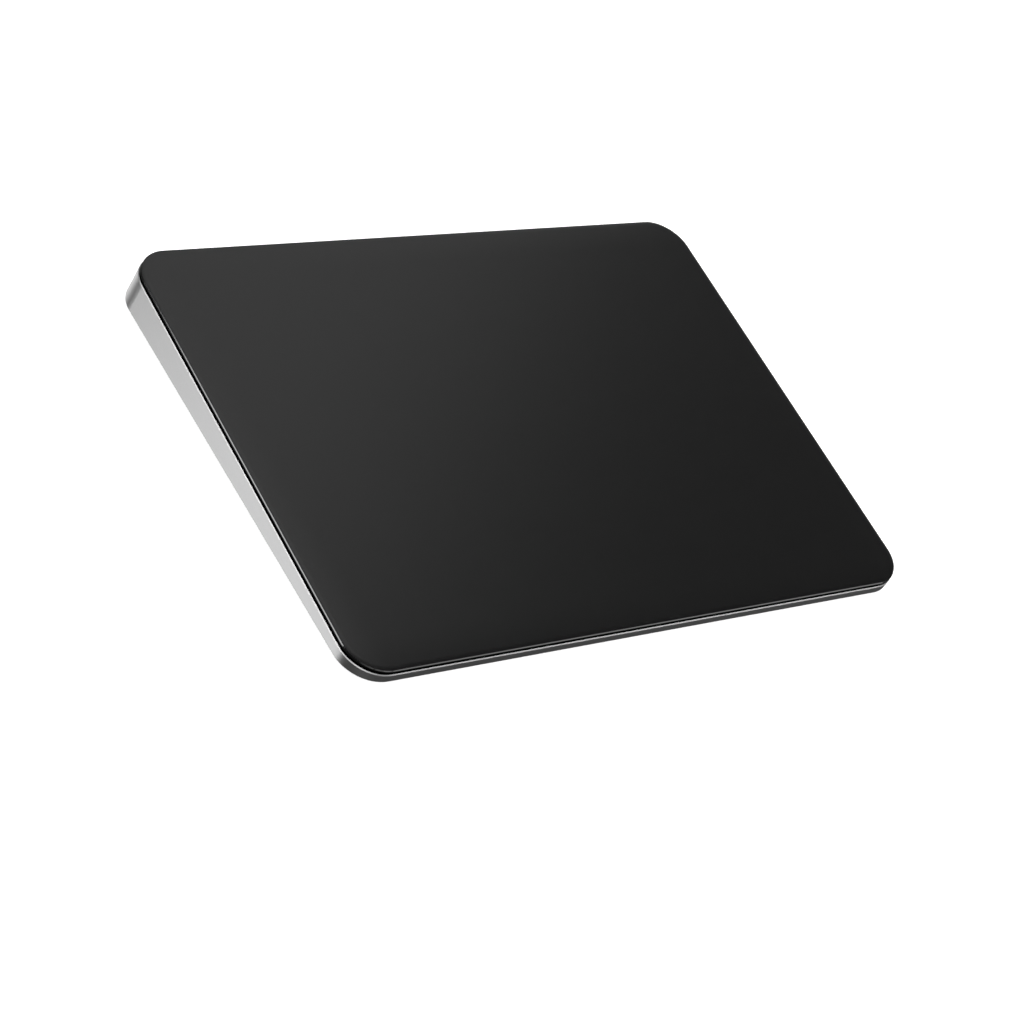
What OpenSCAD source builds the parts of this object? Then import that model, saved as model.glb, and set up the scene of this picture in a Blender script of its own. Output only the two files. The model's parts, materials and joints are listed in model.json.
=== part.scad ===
// Wireless trackpad: a glass touch plate that floats on four sprung arms over an aluminium
// wedge and is nudged sideways by an electromagnet when it is pressed.
// Millimetres. +Z is up, +Y to the rear, the origin lies on the desk below the middle.

/* [Body] */
// Overall width
body_w = 160; // [150:1:180]
// Overall depth
body_d = 114.9; // [112:0.1:130]
// Height of the touch surface at the front end
front_h = 4.9; // [4.7:0.1:6]
// Height of the touch surface at the rear end
rear_h = 10.9; // [10.5:0.1:13]
// Corner radius, seen from above
corner_r = 9; // [6:0.5:14]
// Thickness of the side walls
wall_t = 1.8; // [1.4:0.1:2.4]
// Thickness of the floor
floor_t = 0.8; // [0.6:0.05:0.9]
// Polished bevel round the rim
rim_bevel = 0.2; // [0.1:0.05:0.4]
// Bevel along the lower edge
low_bevel = 0.2; // [0.1:0.05:0.5]

/* [Bottom] */
// Height of the feet below the cover
foot_h = 0.6; // [0.5:0.1:1]
// Diameter of a foot
foot_d = 9; // [6:0.5:12]
// Distance from the body's edges to the middle of a foot
foot_margin = 15; // [12:0.5:22]
// Depth of the pocket that holds a foot
foot_pocket = 0.25; // [0.1:0.05:0.4]
// Bevel on a foot's lower edge
foot_bevel = 0.25; // [0.1:0.05:0.4]
// Thickness of the bottom cover
cover_t = 0.7; // [0.55:0.05:0.9]
// Depth of the recess that holds the cover
cover_recess = 0.3; // [0.15:0.05:0.4]
// Distance from the body's outline to the cover
cover_margin = 3; // [2.5:0.1:5]
// Seam round the cover
cover_seam = 0.15; // [0.05:0.05:0.3]
// Bevel on the cover's lower edge
cover_bevel = 0.2; // [0.1:0.05:0.3]

/* [Touch plate] */
// Thickness of the glass
glass_t = 0.9; // [0.7:0.05:1.1]
// Bevel on the edges of the glass
glass_bevel = 0.15; // [0.05:0.05:0.3]
// Step from the body's outline in to the edge of the glass
glass_inset = 0.15; // [0.05:0.05:0.5]
// Shadow gap between the glass and the rim
rim_gap = 0.6; // [0.5:0.05:0.8]
// Thickness of the touch sensor board
sensor_t = 0.5; // [0.4:0.05:0.6]
// Thickness of the steel stiffener
stiff_t = 0.5; // [0.4:0.05:0.6]
// Clearance from the board stack to the side walls
stack_clear = 0.8; // [0.6:0.1:1.5]
// Height of the parts on the underside of the sensor board
sensor_part_h = 0.8; // [0.6:0.05:0.9]
// Side of the square touch controllers
controller_w = 9; // [6:0.5:12]
// Side of a lightening window in the stiffener
window_w = 12; // [8:0.5:13]

/* [Motion] */
// Travel of the touch plate when it is pressed
press_travel = 0.2; // [0.1:0.05:0.25]
// Travel of the touch plate to each side
haptic_travel = 0.15; // [0.1:0.05:0.3]
// Travel of the power slider
switch_travel = 2; // [1.5:0.1:3]
// Clearance that is left at the end of a travel
run_clear = 0.3; // [0.2:0.05:0.4]

/* [Suspension] */
// Thickness of a spring arm
arm_t = 0.4; // [0.3:0.05:0.5]
// Side of the square pads at the ends of an arm
arm_w = 9; // [8:0.5:11]
// Length of the bending waist between the pads
waist_l = 8; // [5:0.5:12]
// Width of the bending waist
waist_w = 5; // [3:0.5:7]
// Fillet where the waist runs into a pad
waist_fillet = 1; // [0.2:0.1:2]
// Diameter of a gel pad
gel_d = 6; // [4:0.5:7.5]
// Thickness of a gel pad
gel_t = 0.4; // [0.35:0.05:0.5]
// Distance from the body's sides to the middle of a gel pad
gel_side = 14; // [10:0.5:18]
// Distance from the front edge to the middle of a front gel pad
gel_front = 19; // [16:0.5:22]
// Distance from the rear edge to the middle of a rear gel pad
gel_rear = 13; // [10:0.5:14]
// Thickness of a strain gauge
gauge_t = 0.1; // [0.05:0.05:0.15]
// Length of a strain gauge
gauge_l = 4; // [2:0.5:4.5]

/* [Haptic actuator] */
// Number of legs on the core
leg_count = 4; // [2:1:4]
// Width of a leg
leg_w = 5; // [4:0.1:5.5]
// Gap between two legs
leg_gap = 2.5; // [2.2:0.1:3]
// Length of a leg
leg_l = 7; // [5:0.5:8]
// Height of the core
core_h = 1.6; // [1.2:0.05:1.7]
// Width of the spine that joins the legs
spine_w = 3; // [2:0.1:4]
// Build-up of a winding
coil_t = 0.6; // [0.4:0.05:0.65]
// Thickness of the bracket
bracket_t = 0.5; // [0.3:0.05:0.6]
// Length of the ears at the bracket's ends
ear_l = 6; // [5:0.5:7]
// Thickness of the armature's upright
armature_t = 2; // [1:0.1:2.5]
// Height of the armature's upright
armature_h = 2.9; // [2:0.1:3]
// Width of the armature's flange
flange_w = 6; // [5:0.5:6.5]
// Thickness of the armature's flange
flange_t = 0.8; // [0.5:0.05:1]

/* [Battery] */
// Width of a cell
cell_w = 50; // [40:1:56]
// Depth of a cell
cell_d = 35; // [28:0.5:36]
// Height of a cell
cell_h = 3.1; // [2.5:0.05:3.2]
// Soft bevel on a cell's edges
cell_bevel = 0.5; // [0.2:0.05:0.8]
// Depth of the sealed lip at a cell's tab end
seal_d = 2.5; // [1.5:0.1:4]
// Thickness of the sealed lip
seal_t = 0.5; // [0.3:0.05:0.6]
// Distance from the middle to a cell
cell_bay = 14.5; // [14:0.5:17]
// Thickness of the mounting tape
tape_t = 0.2; // [0.15:0.05:0.25]
// Width of the protection board
guard_w = 60; // [50:1:70]
// Depth of the protection board
guard_d = 4.5; // [4:0.1:5]

/* [Boards] */
// Thickness of the boards
board_t = 0.6; // [0.5:0.05:0.7]
// Corner radius of the boards
board_r = 1; // [0.5:0.1:1.5]
// Depth of the rear board
io_d = 10.5; // [9:0.1:11]
// Width of the logic board
board_w = 84; // [80:1:88]
// Depth of the logic board
board_d = 20; // [19:0.5:22]
// Height of the pads below the logic board
board_lift = 0.3; // [0.2:0.05:0.4]
// Side of the main processor
processor_w = 9; // [7:0.5:10]
// Side of the radio and the converter
radio_w = 6; // [4:0.5:7]
// Side of the charger and the driver
driver_w = 5; // [3:0.5:6]
// Height of the chips
chip_h = 0.8; // [0.5:0.05:0.9]
// Bevel on the upper edges of the chips
chip_bevel = 0.15; // [0.05:0.05:0.25]
// Height of the connectors
plug_h = 1; // [0.8:0.05:1.1]
// Bevel on the upper edges of the connectors
plug_bevel = 0.1; // [0.05:0.05:0.15]
// Width of the shield can
shield_w = 20; // [18:0.5:22]
// Depth of the shield can
shield_d = 14; // [12:0.5:15]
// Height of the shield can
shield_h = 1.1; // [1:0.05:1.2]
// Sheet thickness of the shield can
shield_t = 0.15; // [0.1:0.01:0.2]
// Bevel on the upper edges of the shield can
shield_bevel = 0.25; // [0.1:0.05:0.4]
// Diameter of a vent in the shield can
vent_d = 1.2; // [0.8:0.1:1.6]
// Distance from vent to vent
vent_pitch = 2.8; // [2:0.1:3.2]
// Length of the antenna strip
antenna_l = 16; // [12:0.5:20]
// Width of the antenna strip
antenna_w = 2.4; // [1.5:0.1:3]
// Thickness of the ribbon leads
ribbon_t = 0.15; // [0.1:0.01:0.2]
// Width of the ribbon leads
ribbon_w = 3; // [2:0.1:3.4]
// Width of the touch ribbon
touch_ribbon_w = 8; // [6:0.5:10]

/* [Charging socket] */
// Width of the socket's mouth
port_w = 8.34; // [8.2:0.02:8.6]
// Height of the socket's mouth
port_h = 2.56; // [2.4:0.02:2.7]
// Length of the shell
port_l = 7; // [6:0.1:8]
// Sheet thickness of the shell
port_t = 0.3; // [0.2:0.05:0.35]
// Depth of the socket's middle below the touch surface
port_drop = 5.2; // [5:0.05:5.4]
// Relief round the mouth in the rear wall
port_relief = 0.15; // [0.05:0.05:0.25]
// Width of the tongue
tongue_w = 6.7; // [6.4:0.05:6.9]
// Thickness of the tongue
tongue_t = 0.7; // [0.6:0.05:0.8]

/* [Power switch] */
// Distance from the middle to the switch
switch_x = 30; // [27:0.5:31]
// Width of the knob
knob_w = 4; // [3:0.1:5]
// Height of the knob
knob_h = 1.8; // [1.4:0.1:2]
// Gap round the knob
slot_gap = 0.25; // [0.2:0.05:0.3]
// Recess of the knob behind the rear face
knob_recess = 0.2; // [0.1:0.05:0.4]
// Thickness of the slider's plate
slider_t = 0.8; // [0.6:0.05:1]
// Gap between the slider's plate and the wall
slider_gap = 0.2; // [0.15:0.05:0.25]

/* [Screws] */
// Diameter of a screw's shank
screw_d = 1.4; // [1.2:0.1:1.6]
// Diameter of a screw's head
head_d = 2.6; // [2.4:0.1:2.8]
// Height of a screw's head
head_h = 0.55; // [0.4:0.05:0.6]
// Clearance round a shank in its hole
hole_clear = 0.1; // [0.05:0.05:0.15]

/* [Hidden] */
$fn = 48;

// Levels above the desk
tilt = atan((rear_h - front_h) / body_d);
mean_h = (front_h + rear_h) / 2;
case_z = foot_h + cover_t - cover_recess;
cover_top = foot_h + cover_t;
floor_top = cover_top + floor_t;

// Gaps between neighbours: in a pocket, at a lead's end, beside an edge, between two parts
fit_gap = 0.05;
part_gap = 0.1;
edge_gap = 0.4;
place_gap = 0.5;

// Depths below the touch surface, measured square to it
rim_depth = glass_t + rim_gap;
sensor_depth = glass_t + sensor_t;
stack_depth = sensor_depth + stiff_t;
arm_depth = stack_depth + gel_t;
post_depth = arm_depth + arm_t;
coil_depth = stack_depth + press_travel + run_clear;
core_depth = coil_depth + coil_t + part_gap;
bracket_depth = core_depth + core_h;
io_depth = port_drop + port_h / 2 + port_t;
deep = 2 * rear_h;

// The walls stand square to the touch surface, so the body is a prism in the tilted frame
rear_edge = pow(cos(tilt), 2) * (body_d / 2 - (mean_h - case_z - low_bevel) * tan(tilt));
front_edge = -body_d / 2 - (rim_depth + rim_bevel) * sin(tilt);
top_d = (rear_edge - front_edge) / cos(tilt);
top_y = (rear_edge + front_edge) / 2;
top_z = mean_h + top_y * tan(tilt);

// From a place in the tilted frame to the desk frame, and the depth of a level there
function desk_y(y, depth) = top_y + y * cos(tilt) + depth * sin(tilt);
function desk_z(y, depth) = top_z + y * sin(tilt) - depth * cos(tilt);
function depth_of(z, y) = (top_z + y * sin(tilt) - z) / cos(tilt);

// The body's outline at its lower edge, which is level with the desk
low_front = desk_y(-top_d / 2, depth_of(case_z, -top_d / 2));
low_rear = desk_y(top_d / 2, depth_of(case_z, top_d / 2));
low_spread = 2;
low_d = low_rear - low_front;

foot_x = body_w / 2 - foot_margin;
foot_y = body_d / 2 - foot_margin;
stack_w = body_w - 2 * (wall_t + stack_clear);
stack_d = top_d - 2 * (wall_t + stack_clear);
stack_r = max(corner_r - wall_t - stack_clear, 1);

// Screws and the pillars that take them
hole_d = screw_d + 2 * hole_clear;
pillar_d = head_d + 1.4;
thread_l = 1.2;
floor_skin = 0.25;
head_sink = 0.1;
function seat_depth(y) = depth_of(cover_top, y) - head_h - head_sink;

// Spring arms
gel_x = body_w / 2 - gel_side;
anchor_x = gel_x - arm_w - waist_l;
arm_rows = [-top_d / 2 + gel_front, top_d / 2 - gel_rear];
arm_r = 1;
shoulder_r = min(waist_fillet, (arm_w - waist_w) / 2 - arm_r, waist_l / 2);
post_w = arm_w + 1;
post_r = 1.5;
anchor_pitch = 4.8;
anchor_rows = [for (row = arm_rows, step = [-0.5, 0.5]) row + step * anchor_pitch];
collar_d = screw_d + 1.6;
collar_h = gel_t;

// Power slider, at rest in its off place
inner_y = top_d / 2 - wall_t;
plate_y = inner_y - slider_gap - slider_t;
slot_w = knob_w + switch_travel + 2 * slot_gap;
slot_h = knob_h + 2 * slot_gap;
knob_x = switch_x - switch_travel / 2;
plate_lap = 1;
plate_lip = 0.4;
plate_w = slot_w + switch_travel + 2 * plate_lap;
plate_h = slot_h + 2 * plate_lip;
rib_w = 0.3;
rib_h = 0.15;
rib_pitch = 0.7;
fork_l = 1.2;
fork_t = 0.8;
lever_w = 1;
lever_in = 0.9;
switch_cheek = 2;
switch_w = lever_w + switch_travel + 2 * switch_cheek;
switch_d = 3.2;
switch_h = 2.2;
switch_y = plate_y - fork_l - run_clear - switch_d;

// Leads lie flat on the floor and climb to a board over a short bend
bend_l = 1.8;
lead_z = floor_top + fit_gap;
ribbon_x = cell_bay - 1 - ribbon_w / 2;
plug_w = ribbon_w + 1;
plug_d = 3;

// A lead's end lies free in the mouth of its connector
mouth_d = 1.4;
mouth_gap = 0.15;
lead_in = mouth_d - 2 * part_gap;

// Rear board
io_side = 6;
io_rear = plate_y - run_clear;
io_front = io_rear - io_d;
io_left = -(port_w / 2 + port_t + io_side);
io_right = switch_x + switch_w / 2 + io_side;
io_screw_in = 2.6;
io_screw_y = io_front + io_screw_in;
io_screws = [io_left + io_screw_in, (ribbon_x + plug_w / 2 + switch_x - switch_w / 2) / 2];
io_plug_in = 1.6;
io_plug_depth = io_depth - plug_h / 2;
io_plug_y = desk_y(io_front + io_plug_in, io_plug_depth) - part_gap;
io_plug_z = desk_z(io_front + io_plug_in, io_plug_depth);
io_tip = io_front + io_plug_in + lead_in;
io_lip_y = desk_y(io_front, io_depth);

// Battery, in front of the rear board
guard_lift = fit_gap + ribbon_t + 2 * part_gap;
guard_top = floor_top + guard_lift + board_t;
guard_y = io_lip_y - edge_gap - bend_l - place_gap - guard_d;
cell_y = guard_y - place_gap - cell_d;
cell_r = 2;
tape_w = 12;
tape_in = 4;
tape_margin = 2;
tab_w = 3;
tab_t = 0.15;
tab_in = 3;
tab_pitch = 5;

// Haptic actuator, between the cells
core_l = leg_count * leg_w + (leg_count - 1) * leg_gap;
haptic_rear = (guard_y - place_gap - top_y - (bracket_depth + bracket_t) * sin(tilt)) / cos(tilt);
haptic_y = haptic_rear - ear_l - core_l;
pole_x = 1;
spine_x = pole_x - leg_l - spine_w;
coil_out = part_gap + coil_t;
air_gap = haptic_travel + run_clear;
lip_w = 1;
bracket_w = spine_w + lip_w;
ear_x = spine_x + (spine_w - lip_w) / 2;
ear_rows = [haptic_y - ear_l / 2, haptic_y + core_l + ear_l / 2];
function ear_bite(y) = min(thread_l, depth_of(cover_top, y) - bracket_depth - bracket_t - floor_skin);
armature_x = pole_x + air_gap;
armature_rows = [for (share = [0.15, 0.5, 0.85]) haptic_y + core_l * share];
armature_screw_x = armature_x + armature_t + flange_w / 2;

// Logic board, in front of the battery
board_gap = 1.2;
board_rear = min(cell_y, desk_y(haptic_y - ear_l, bracket_depth)) - board_gap;
board_y = board_rear - board_d;
board_z = floor_top + board_lift;
board_top = board_z + board_t;
board_screw_in = 2.6;
board_rows = [board_y + board_screw_in, board_rear - board_screw_in];
board_cols = [-board_w / 2 + board_screw_in, board_w / 2 - board_screw_in];
plug_y = board_rear - plug_d - board_gap;
plug_cols = [-ribbon_x, pole_x - leg_l / 2, ribbon_x];
shield_x = -board_w / 2 + 2 * board_screw_in + place_gap;
shield_y = board_y + (board_d - shield_d) / 2;
vent_columns = 5;
vent_rows = 3;
chip_gap = 1.5;
antenna_x = board_w / 2 - 4 * board_screw_in - antenna_l;
antenna_t = 0.2;
fold_count = 9;
fold_w = 0.8;
fold_pitch = (antenna_l - fold_w) / (fold_count - 1);
leg_folds = [0, 5];

// Touch ribbon, from the right end of the logic board up to the sensor board
touch_plug_d = 3.6;
touch_plug_x = board_w / 2 - 1 - touch_plug_d;
touch_y = board_y + board_d / 2 - top_y;
touch_plug_w = touch_ribbon_w + 1;
touch_reach = 8;
touch_bend = 1.5;
touch_low = depth_of(board_top + plug_h / 2, touch_y);
touch_high = sensor_depth + sensor_part_h * 0.7;
touch_end = touch_plug_x + touch_plug_d + part_gap;
sensor_plug_x = board_w / 2 + touch_reach;
sensor_plug_w = 3;
touch_tip = sensor_plug_x + mouth_d / 2;
controller_cols = [-board_w / 3, board_w / 5];
window_gap = 4;
window_r = 2;

// Charging socket
tongue_base = 1.6;
tongue_start = 1.2;
contact_count = 12;
contact_pitch = 0.5;
contact_w = 0.24;
contact_t = 0.05;

// Puts things on the touch surface's own axes, with z = 0 at its middle
module on_top()
    translate([0, top_y, top_z])
        rotate([tilt, 0, 0])
            children();

module down(depth)
    translate([0, 0, -depth])
        children();

// Mirrors to the left side when side is negative
module on_side(side)
    mirror([side < 0 ? 1 : 0, 0, 0])
        children();

// Keeps what lies above a level over the desk
module above(z)
    intersection() {
        children();
        translate([-body_w, -body_d, z])
            cube([2 * body_w, 2 * body_d, deep]);
    }

module rounded_rect(w, d, r) {
    square([w - 2 * r, d], center = true);
    square([w, d - 2 * r], center = true);
    for (x = [-1, 1], y = [-1, 1])
        translate([x * (w / 2 - r), y * (d / 2 - r)])
            circle(r);
}

module stadium(w, h) {
    square([w - h, h], center = true);
    for (x = [-1, 1])
        translate([x * (w - h) / 2, 0])
            circle(d = h);
}

// One edge of a bevelled slab, and the slab's whole section
function half_edge(a, h, top, low) =
    [[a - low, 0], if (low > 0) [a, low], if (top > 0) [a, h - top], [a - top, h]];
function mirrored(p) = [for (i = [len(p) - 1:-1:0]) [-p[i][0], p[i][1]]];
function section(a, h, top, low) = concat(half_edge(a, h, top, low), mirrored(half_edge(a, h, top, low)));

// Slab with round corners and bevelled edges, standing on z = 0
module edged_slab(w, d, r, h, top, low) {
    rotate([90, 0, 90])
        linear_extrude(w - 2 * r, center = true)
            polygon(section(d / 2, h, top, low));
    rotate([90, 0, 0])
        linear_extrude(d - 2 * r, center = true)
            polygon(section(w / 2, h, top, low));
    for (x = [-1, 1], y = [-1, 1])
        translate([x * (w / 2 - r), y * (d / 2 - r), 0])
            rotate_extrude()
                polygon(concat([[0, 0]], half_edge(r, h, top, low), [[0, h]]));
}

// Box given by its low corner and its size
module block(x, y, z, size)
    translate([x, y, z])
        cube(size);

// Block with mitred bevels round its top, standing on z = 0 over the origin
module topped_block(w, d, h, top)
    intersection() {
        rotate([90, 0, 90])
            linear_extrude(2 * w, center = true)
                polygon(section(d / 2, h, top, 0));
        rotate([90, 0, 0])
            linear_extrude(2 * d, center = true)
                polygon(section(w / 2, h, top, 0));
    }

// Fills the corner between edges along +x and +y with a fillet, and laps both edges a little
module inner_fillet(r)
    difference() {
        translate([-part_gap, -part_gap])
            square(r + part_gap);
        translate([r, r])
            circle(r);
    }

// Screw with a hexagon socket, its head standing on z = 0 and its shank below
module screw(shank_l) {
    difference() {
        cylinder(d = head_d, h = head_h);
        translate([0, 0, head_h * 0.4])
            cylinder(d = head_d * 0.5, h = head_h, $fn = 6);
    }
    translate([0, 0, -shank_l])
        cylinder(d = screw_d, h = shank_l);
}

// Flat lead along Y through points of y and z, centred on x
module ribbon(x, path)
    translate([x + ribbon_w / 2, 0, 0])
        rotate([90, 0, -90])
            linear_extrude(ribbon_w)
                polygon(concat([for (p = path) [-p[0], p[1]]],
                    [for (i = [len(path) - 1:-1:0]) [-path[i][0], path[i][1] + ribbon_t]]));

module arm_places()
    for (side = [-1, 1], y = arm_rows)
        translate([0, y, 0])
            on_side(side)
                children();

module housing_posts() {
    arm_places()
        translate([anchor_x, 0, -deep])
            linear_extrude(deep - post_depth)
                rounded_rect(post_w, post_w, post_r);
    for (y = ear_rows)
        translate([ear_x, y, -deep])
            cylinder(d = bracket_w, h = deep - bracket_depth - bracket_t);
    for (x = io_screws)
        translate([x, io_screw_y, -deep])
            cylinder(d = pillar_d, h = deep - io_depth - board_t);
}

// The arms' screws come from below, the others from above
module housing_holes() {
    for (side = [-1, 1], y = anchor_rows)
        translate([side * anchor_x, y, -deep]) {
            cylinder(d = hole_d, h = deep);
            cylinder(d = head_d + 2 * hole_clear, h = deep - seat_depth(y));
        }
    for (y = ear_rows)
        translate([ear_x, y, -bracket_depth - bracket_t - ear_bite(y)])
            cylinder(d = hole_d, h = deep);
    for (x = io_screws)
        translate([x, io_screw_y, -io_depth - board_t - thread_l])
            cylinder(d = hole_d, h = 2 * thread_l);
}

module rear_openings() {
    translate([0, inner_y - wall_t, -port_drop])
        rotate([-90, 0, 0])
            linear_extrude(3 * wall_t)
                stadium(port_w + 2 * port_relief, port_h + 2 * port_relief);
    translate([switch_x, inner_y - wall_t, -port_drop])
        rotate([-90, 0, 0])
            linear_extrude(3 * wall_t)
                stadium(slot_w, slot_h);
}

// Solid wedge: a prism square to the touch surface, cut level below with a bevelled edge
module wedge()
    intersection() {
        on_top()
            down(deep)
                edged_slab(body_w, top_d, corner_r, deep - rim_depth, rim_bevel, 0);
        translate([0, (low_front + low_rear) / 2, case_z])
            edged_slab(body_w + 2 * low_spread, low_d + 2 * low_spread, corner_r + low_spread, deep, 0,
                low_bevel + low_spread);
    }

module cavity()
    above(floor_top)
        on_top()
            down(deep)
                linear_extrude(deep)
                    rounded_rect(body_w - 2 * wall_t, top_d - 2 * wall_t, corner_r - wall_t);

module cover_pocket()
    translate([0, 0, case_z - cover_recess])
        linear_extrude(2 * cover_recess)
            rounded_rect(body_w - 2 * (cover_margin - cover_seam), body_d - 2 * (cover_margin - cover_seam),
                corner_r - cover_margin + cover_seam);

module housing()
    color("#c8c9cb")
        difference() {
            union() {
                difference() {
                    wedge();
                    cavity();
                }
                above(floor_top - floor_t / 2)
                    on_top()
                        housing_posts();
                for (x = board_cols, y = board_rows)
                    translate([x, y, floor_top - floor_t / 2])
                        cylinder(d = pillar_d, h = floor_t / 2 + board_lift);
            }
            cover_pocket();
            on_top() {
                housing_holes();
                rear_openings();
            }
            for (x = board_cols, y = board_rows)
                translate([x, y, cover_top + floor_skin])
                    cylinder(d = hole_d, h = floor_t + board_lift);
        }

module foot_places()
    for (x = [-1, 1], y = [-1, 1])
        translate([x * foot_x, y * foot_y, 0])
            children();

module bottom_cover()
    color("#bfc0c2")
        difference() {
            translate([0, 0, foot_h])
                edged_slab(body_w - 2 * cover_margin, body_d - 2 * cover_margin, corner_r - cover_margin,
                    cover_t, 0, cover_bevel);
            foot_places()
                cylinder(d = foot_d + 2 * fit_gap, h = foot_h + foot_pocket);
        }

module feet()
    color("#4a4b4d")
        foot_places()
            rotate_extrude()
                polygon([[0, 0], [foot_d / 2 - foot_bevel, 0], [foot_d / 2, foot_bevel],
                    [foot_d / 2, foot_h + foot_pocket], [0, foot_h + foot_pocket]]);

module touch_glass()
    color("#17181a")
        on_top()
            down(glass_t)
                edged_slab(body_w - 2 * glass_inset, top_d - 2 * glass_inset, corner_r - glass_inset,
                    glass_t, glass_bevel, glass_bevel);

module sensor_board()
    color("#1f2a24")
        on_top()
            down(sensor_depth)
                linear_extrude(sensor_t)
                    rounded_rect(stack_w, stack_d, stack_r);

// Windows over the arms' anchors, round the parts of the sensor board, and to save weight
module stiffener_windows() {
    for (side = [-1, 1], y = arm_rows)
        translate([side * anchor_x, y])
            rounded_rect(post_w + 2 * place_gap, post_w + 2 * place_gap, post_r);
    for (x = controller_cols)
        translate([x, touch_y])
            rounded_rect(controller_w + 4 * place_gap, controller_w + 4 * place_gap, arm_r);
    translate([sensor_plug_x, touch_y])
        rounded_rect(touch_reach, touch_plug_w + 6 * place_gap, arm_r);
    for (side = [-1, 1], column = [0:2], row = [0:1])
        translate([side * (cell_bay + window_gap / 2 + window_w / 2 + column * (window_w + window_gap)),
                haptic_y + window_w / 2 + row * (window_w + window_gap)])
            rounded_rect(window_w, window_w, window_r);
}

module stiffener_plate()
    color("#8d9094")
        on_top()
            down(stack_depth)
                difference() {
                    linear_extrude(stiff_t)
                        difference() {
                            rounded_rect(stack_w, stack_d, stack_r);
                            stiffener_windows();
                        }
                    for (y = armature_rows)
                        translate([armature_screw_x, y, -stiff_t])
                            cylinder(d = hole_d, h = 3 * stiff_t);
                }

module touch_controller()
    color("#26282b")
        on_top()
            for (x = controller_cols)
                translate([x, touch_y, -sensor_depth])
                    rotate([180, 0, 0])
                        topped_block(controller_w, controller_w, sensor_part_h, chip_bevel);

module sensor_connector()
    color("#d8d2c4")
        on_top()
            difference() {
                translate([sensor_plug_x + sensor_plug_w / 2, touch_y, -sensor_depth])
                    rotate([180, 0, 0])
                        topped_block(sensor_plug_w, touch_plug_w, sensor_part_h, plug_bevel);
                block(sensor_plug_x - mouth_d, touch_y - touch_ribbon_w / 2 - mouth_gap, -touch_high - part_gap,
                    [2 * mouth_d, touch_ribbon_w + 2 * mouth_gap, ribbon_t + 2 * part_gap]);
            }

// Soft-iron angle that hangs from the stiffener beside the core's poles
module armature()
    color("#74777b")
        on_top()
            difference() {
                translate([armature_x, haptic_y + core_l, -stack_depth])
                    rotate([90, 0, 0])
                        linear_extrude(core_l)
                            polygon([[0, 0], [0, -armature_h], [armature_t, -armature_h],
                                [armature_t, -flange_t], [armature_t + flange_w, -flange_t],
                                [armature_t + flange_w, 0]]);
                for (y = armature_rows)
                    translate([armature_screw_x, y, -stack_depth - armature_h])
                        cylinder(d = hole_d, h = 2 * armature_h);
            }

module armature_screws()
    color("#a9adb2")
        on_top()
            for (y = armature_rows)
                translate([armature_screw_x, y, -stack_depth - flange_t])
                    rotate([180, 0, 0])
                        screw(flange_t + stiff_t - fit_gap);

module gel_pads()
    color("#d9b46a")
        on_top()
            arm_places()
                translate([gel_x, 0, -arm_depth])
                    cylinder(d = gel_d, h = gel_t);

// Two pads and the waist between them, which runs into each pad over a fillet
module arm_outline() {
    for (x = [anchor_x, gel_x])
        translate([x, 0])
            rounded_rect(arm_w, arm_w, arm_r);
    translate([anchor_x, -waist_w / 2])
        square([gel_x - anchor_x, waist_w]);
    if (shoulder_r > 0)
        for (far = [0, 1], low = [0, 1])
            translate([far == 0 ? anchor_x + arm_w / 2 : gel_x - arm_w / 2, (1 - 2 * low) * waist_w / 2])
                mirror([far, 0, 0])
                    mirror([0, low, 0])
                        inner_fillet(shoulder_r);
}

// Sprung arms: an anchor with two threaded collars, a bending waist and a pad for the gel
module flexures()
    color("#9fa3a8")
        on_top()
            arm_places()
                down(post_depth)
                    difference() {
                        union() {
                            linear_extrude(arm_t)
                                arm_outline();
                            for (step = [-0.5, 0.5])
                                translate([anchor_x, step * anchor_pitch, 0])
                                    cylinder(d = collar_d, h = arm_t + collar_h);
                        }
                        for (step = [-0.5, 0.5])
                            translate([anchor_x, step * anchor_pitch, -arm_t])
                                cylinder(d = hole_d, h = 3 * arm_t + collar_h);
                    }

module strain_gauges()
    color("#c9903a")
        on_top()
            arm_places()
                block((anchor_x + gel_x - gauge_l) / 2, -waist_w / 2 + place_gap, -post_depth - gauge_t,
                    [gauge_l, waist_w - 2 * place_gap, gauge_t]);

module flexure_screws()
    color("#a9adb2")
        on_top()
            for (side = [-1, 1], y = anchor_rows)
                translate([side * anchor_x, y, -seat_depth(y)])
                    rotate([180, 0, 0])
                        screw(seat_depth(y) - arm_depth + collar_h - fit_gap);

module haptic_core()
    color("#6d7074")
        on_top()
            down(bracket_depth)
                linear_extrude(core_h) {
                    translate([spine_x, haptic_y])
                        square([spine_w, core_l]);
                    for (leg = [0:leg_count - 1])
                        translate([spine_x, haptic_y + leg * (leg_w + leg_gap)])
                            square([spine_w + leg_l, leg_w]);
                }

module haptic_coils()
    color("#b8662f")
        on_top()
            for (leg = [0:leg_count - 1])
                translate([spine_x + spine_w + coil_t, haptic_y + leg * (leg_w + leg_gap) + leg_w / 2,
                        -core_depth - core_h / 2])
                    rotate([90, 0, 90])
                        linear_extrude(leg_l - 2 * coil_t)
                            difference() {
                                rounded_rect(leg_w + 2 * coil_out, core_h + 2 * coil_out, coil_t);
                                square([leg_w + 2 * part_gap, core_h + 2 * part_gap], center = true);
                            }

module haptic_bracket()
    color("#b4b7ba")
        on_top()
            down(bracket_depth + bracket_t)
                difference() {
                    linear_extrude(bracket_t)
                        translate([ear_x, haptic_y + core_l / 2])
                            rounded_rect(bracket_w, core_l + 2 * ear_l, arm_r);
                    for (y = ear_rows)
                        translate([ear_x, y, -bracket_t])
                            cylinder(d = hole_d, h = 3 * bracket_t);
                }

module haptic_screws()
    color("#a9adb2")
        on_top()
            for (y = ear_rows)
                translate([ear_x, y, -bracket_depth])
                    screw(bracket_t + ear_bite(y) - part_gap);

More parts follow.
